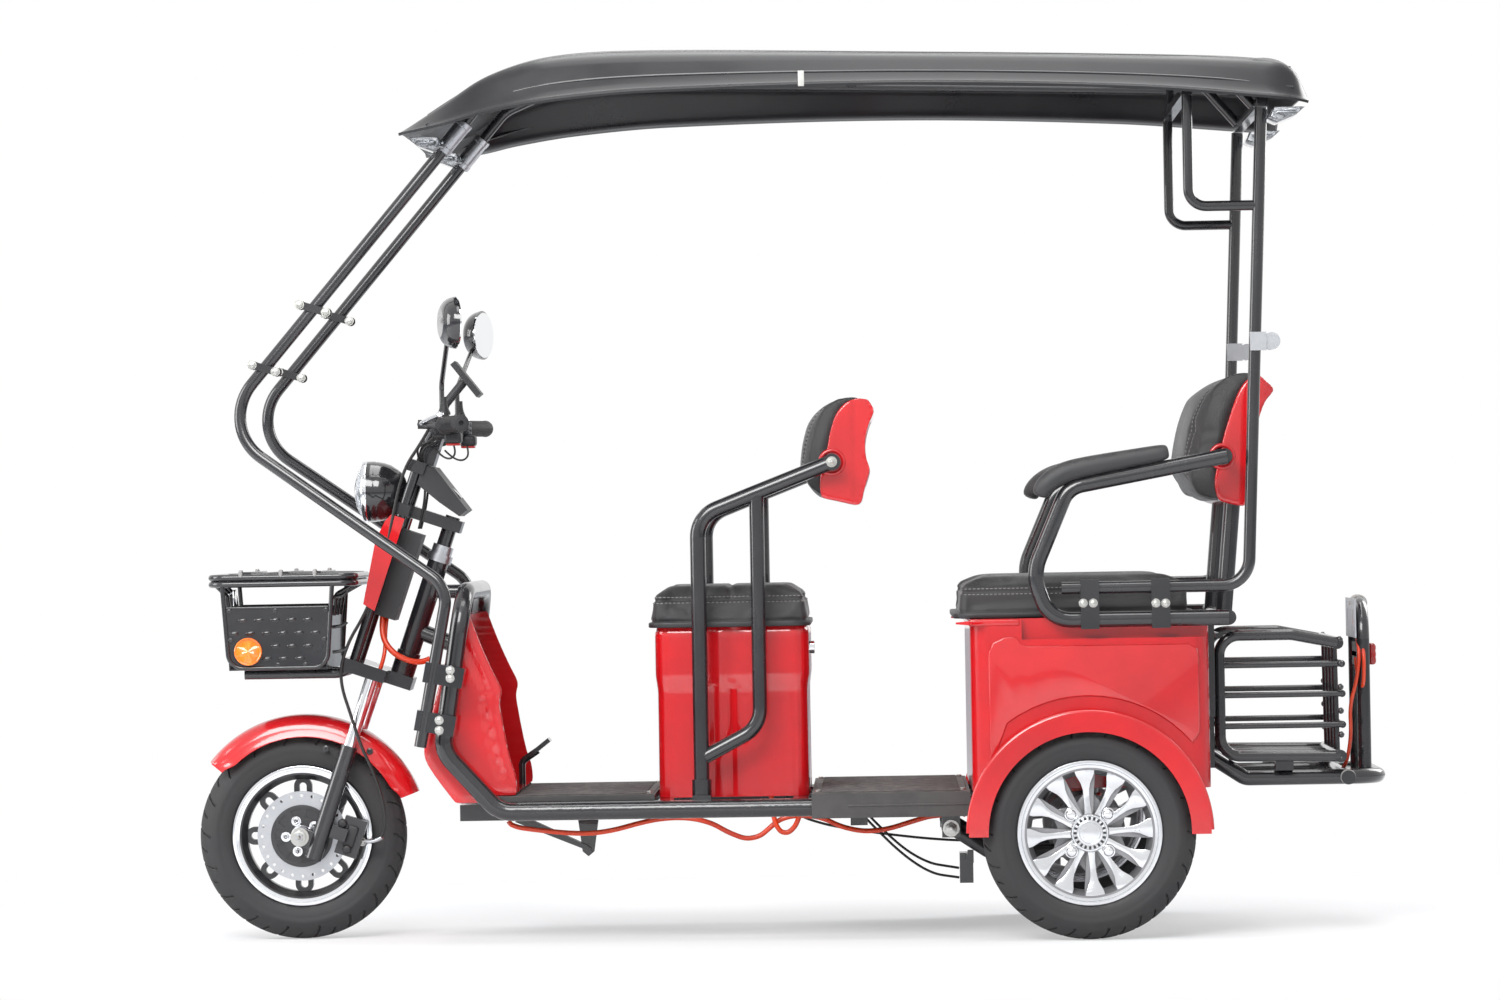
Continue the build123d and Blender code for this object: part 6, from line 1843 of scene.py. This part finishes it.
# %% Clamp bolts and tube sleeves
bolts = []
for side in (-1, 1):
    for ahead, up in ((0.6527, 0.5438), (0.653, 0.5281), (0.676, 0.4462), (0.6763, 0.4266)):
        bolts.append(hex_nut("clamp_bolt", (ahead, side * 0.333, up), (0, side, 0), 0.0065, 0.0045))
    for ahead, up in ((-0.5851, 0.6546), (-0.6046, 0.6543), (-0.7262, 0.6523), (-0.745, 0.6519)):
        bolts.append(hex_nut("clamp_bolt", (ahead, side * 0.372, up), (0, side, 0), 0.0065, 0.0045))
    for ahead, up in ((0.8924, 1.2517), (0.944, 1.2675), (0.9938, 1.1364), (1.0398, 1.1504)):
        for face in (-1, 1):
            bolts.append(hex_nut("plate_bolt", (ahead, side * 0.24 + face * 0.0163, up), (0, face, 0), 0.007, 0.0045))
    bolts.append(hex_nut("pivot_bolt", (-0.323, side * 0.1942, 0.211), (0, side, 0), 0.0125, 0.009))
    bolts.append(hex_nut("frame_boss", (-0.1, side * 0.2803, 0.939), (0, side, 0), 0.008, 0.004, domed=True))
dress(join(bolts, "clamp_bolts"), zinc_bolt, "chassis", 40)
sleeves = []
top, elbow = Vector((0.632, 0.24, 1.597)), Vector((1.113, 0.24, 1.03))
along = (top - elbow).normalized()
for side in (-1, 1):
    spot = Vector((top.x, side * top.y, top.z))
    sleeves.append(turned("tube_sleeve", spot, [(0.0158, -0.041), (0.0172, -0.04), (0.0172, -0.03),
        (0.0162, -0.029), (0.0162, 0.021), (0.0172, 0.022),
        (0.0172, 0.032), (0.0158, 0.033)], 40, along, (0, 1, 0)))
dress(join(sleeves, "front_tube_sleeves"), brushed_steel, "chassis", 40)
print("bolts", len(bolts))

# %% [markdown]
# The footboards carry ribbed rubber mats with a plain border, screwed down at the corners. The ribs are long
# low bars with a flat top, copied across the width.

# %% Floor mats
floor_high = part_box("footboards")[1]
mats, screws = [], []
for low_x, high_x, half, ribs in ((seat_high.x + 0.006, floor_high.x - 0.004, 0.256, 30),
        (-0.354, seat_low.x - 0.006, 0.324, 38)):
    mats.append(block("mat_sheet", (low_x, -half, floor_high.z - 0.001), (high_x, half, floor_high.z + 0.0012),
        0.0008, 1))
    for number in range(ribs):
        side = -half + 0.016 + (2 * half - 0.032) * number / (ribs - 1)
        mats.append(block("mat_rib", (low_x + 0.014, side - 0.004, floor_high.z + 0.0008),
            (high_x - 0.014, side + 0.004, floor_high.z + 0.003), 0.0009, 1))
    for ahead in (low_x + 0.008, high_x - 0.008):
        for side in (-half + 0.045, half - 0.045):
            screws.append(domed_screw("mat_screw", (ahead, side, floor_high.z + 0.003), (0, 0, 1), 0.0055, 0.003))
mat_faces = sum(len(mat.data.polygons) for mat in mats)
dress(join(mats, "floor_mats"), mat_rubber, "chassis", 40)
rims = [block("rim_bead", (-0.356, side * 0.33 - 0.0012, 0.264), (-0.12, side * 0.33 + 0.0012, 0.268), 0.001, 2)
    for side in (-1, 1)]
dress(join(rims, "floor_rim_beads"), mat_rubber, "chassis", 40)
dress(join(screws, "mat_screws"), zinc_bolt, "chassis", 40)
print("mat faces", mat_faces)

# %% [markdown]
# The rear units carry open coil springs with flat seats at both ends. A helix is a wire whose points go round
# the axis while they rise; the end coils close up on the seats.

# %% Coil springs
springs, seats = [], []
for side in (-1, 1):
    centre = Vector((left_hub.x, side * 0.212, 0))
    low_z, high_z, coils, steps = 0.252, 0.402, 8, 14
    helix = []
    for number in range(coils * steps + 1):
        angle = 2 * pi * number / steps
        share = smooth_step(number / (coils * steps)) * 0.35 + 0.65 * number / (coils * steps)
        helix.append((centre.x + 0.0262 * cos(angle), centre.y + 0.0262 * sin(angle),
            low_z + (high_z - low_z) * share))
    springs.append(wire("spring_coil", helix, 0.004))
    for level in (low_z - 0.006, high_z + 0.002):
        seats.append(turned("spring_seat", Vector((centre.x, centre.y, level)),
            [(0, 0), (0.03, 0), (0.031, 0.001), (0.031, 0.004), (0.03, 0.005), (0, 0.005)],
            32, (0, 0, 1), (1, 0, 0), loop=False))
dress(join(springs, "spring_coils"), button_red, "chassis", 60)
dress(join(seats, "spring_seats"), zinc_bolt, "chassis", 40)
print("springs done")

# %% [markdown]
# At the back, the lamp is a black case with a red lens over a row of small reflector cells, a ribbed pale sleeve
# sits on the guard hoop, and orange sleeves hang down inside the rack to the lamp.

# %% Rear lamp and rear sleeves
lamp_low, lamp_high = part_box("tail_lamp")
case = block("lamp_case", (lamp_low.x + 0.012, -0.07, 0.515), (lamp_high.x, 0.07, 0.562), 0.003, 3)
dress(case, black_moulding, "chassis")
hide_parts("tail_lamp")
lens = block("lamp_lens", (lamp_low.x, -0.068, 0.517), (lamp_low.x + 0.014, 0.068, 0.56), 0.005, 4)
dress(lens, red_lens, "chassis")
ears = block("lamp_ears", (-1.156, -0.0815, 0.53), (-1.142, 0.0815, 0.546), 0.003, 2)
dress(ears, red_lens, "chassis")
cells = []
for row in range(3):
    for column in range(12):
        spot = Vector((lamp_low.x + 0.0015, -0.0605 + 0.011 * column, 0.526 + 0.0125 * row))
        reach = Vector((0.002, 0.0046, 0.0052))
        cells.append(block("lamp_cell", spot - reach, spot + reach, 0.0016, 1))
dress(join(cells, "lamp_cells"), red_lens, "chassis", 20)
pale_sleeve = finish("pale_sleeve", (0.42, 0.42, 0.4), (0.34, 0.34, 0.32), (0.4, 0.55), grain=700)
section = []
for number in range(9):
    base = -0.0225 + 0.005 * number
    section += [(0.015, base), (0.0168, base + 0.0008), (0.0168, base + 0.0032), (0.015, base + 0.004)]
section = [(0.0135, -0.024)] + section + [(0.0135, 0.023)]
fluted = turned("fluted_sleeve", Vector((-1.15, 0, 0.64)), section, 40)
dress(fluted, pale_sleeve, "chassis", 40)
caps = [turned("bumper_cap", Vector((-1.1072, side * 0.202, 0.3005)),
    [(0, 0), (0.0125, 0), (0.015, 0.0012), (0.015, 0.004), (0, 0.005)], 32, (0, side, 0),
    loop=False) for side in (-1, 1)]
dress(join(caps, "bumper_caps"), pale_sleeve, "chassis", 40)
hanging = [wire("rear_sleeve", points, 0.0038) for points in (
    [(-1.138, 0.03, 0.628), (-1.136, 0.06, 0.6), (-1.1425, 0.112, 0.5469), (-1.1355, 0.11, 0.4871),
     (-1.1207, 0.104, 0.4374), (-1.1236, 0.1, 0.3775), (-1.1126, 0.096, 0.3178), (-1.105, 0.08, 0.31)],
    [(-1.142, 0.03, 0.622), (-1.1509, 0.114, 0.5667), (-1.1491, 0.112, 0.4669), (-1.14, 0.08, 0.48),
     (-1.14, 0.04, 0.53)])]
dress(join(hanging, "rear_sleeves"), orange_sleeve, "chassis", 60)
print("rear details done")

# %% [markdown]
# The rack's bars show a small weld bead where they meet the posts.

# %% Rack welds
rack_low, rack_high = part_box("rear_rack")
welds = [start("weld", "uv_sphere", segments=10, ring_count=6, radius=0.0065,
          location=(rack_low.x + 0.01, side * (rack_high.y - 0.006), rack_low.z + 0.022 + 0.047 * level))
    for level in range(6) for side in (-1, 1)]
dress(join(welds, "rack_welds"), black_tube, "chassis", 60)
print("welds done")
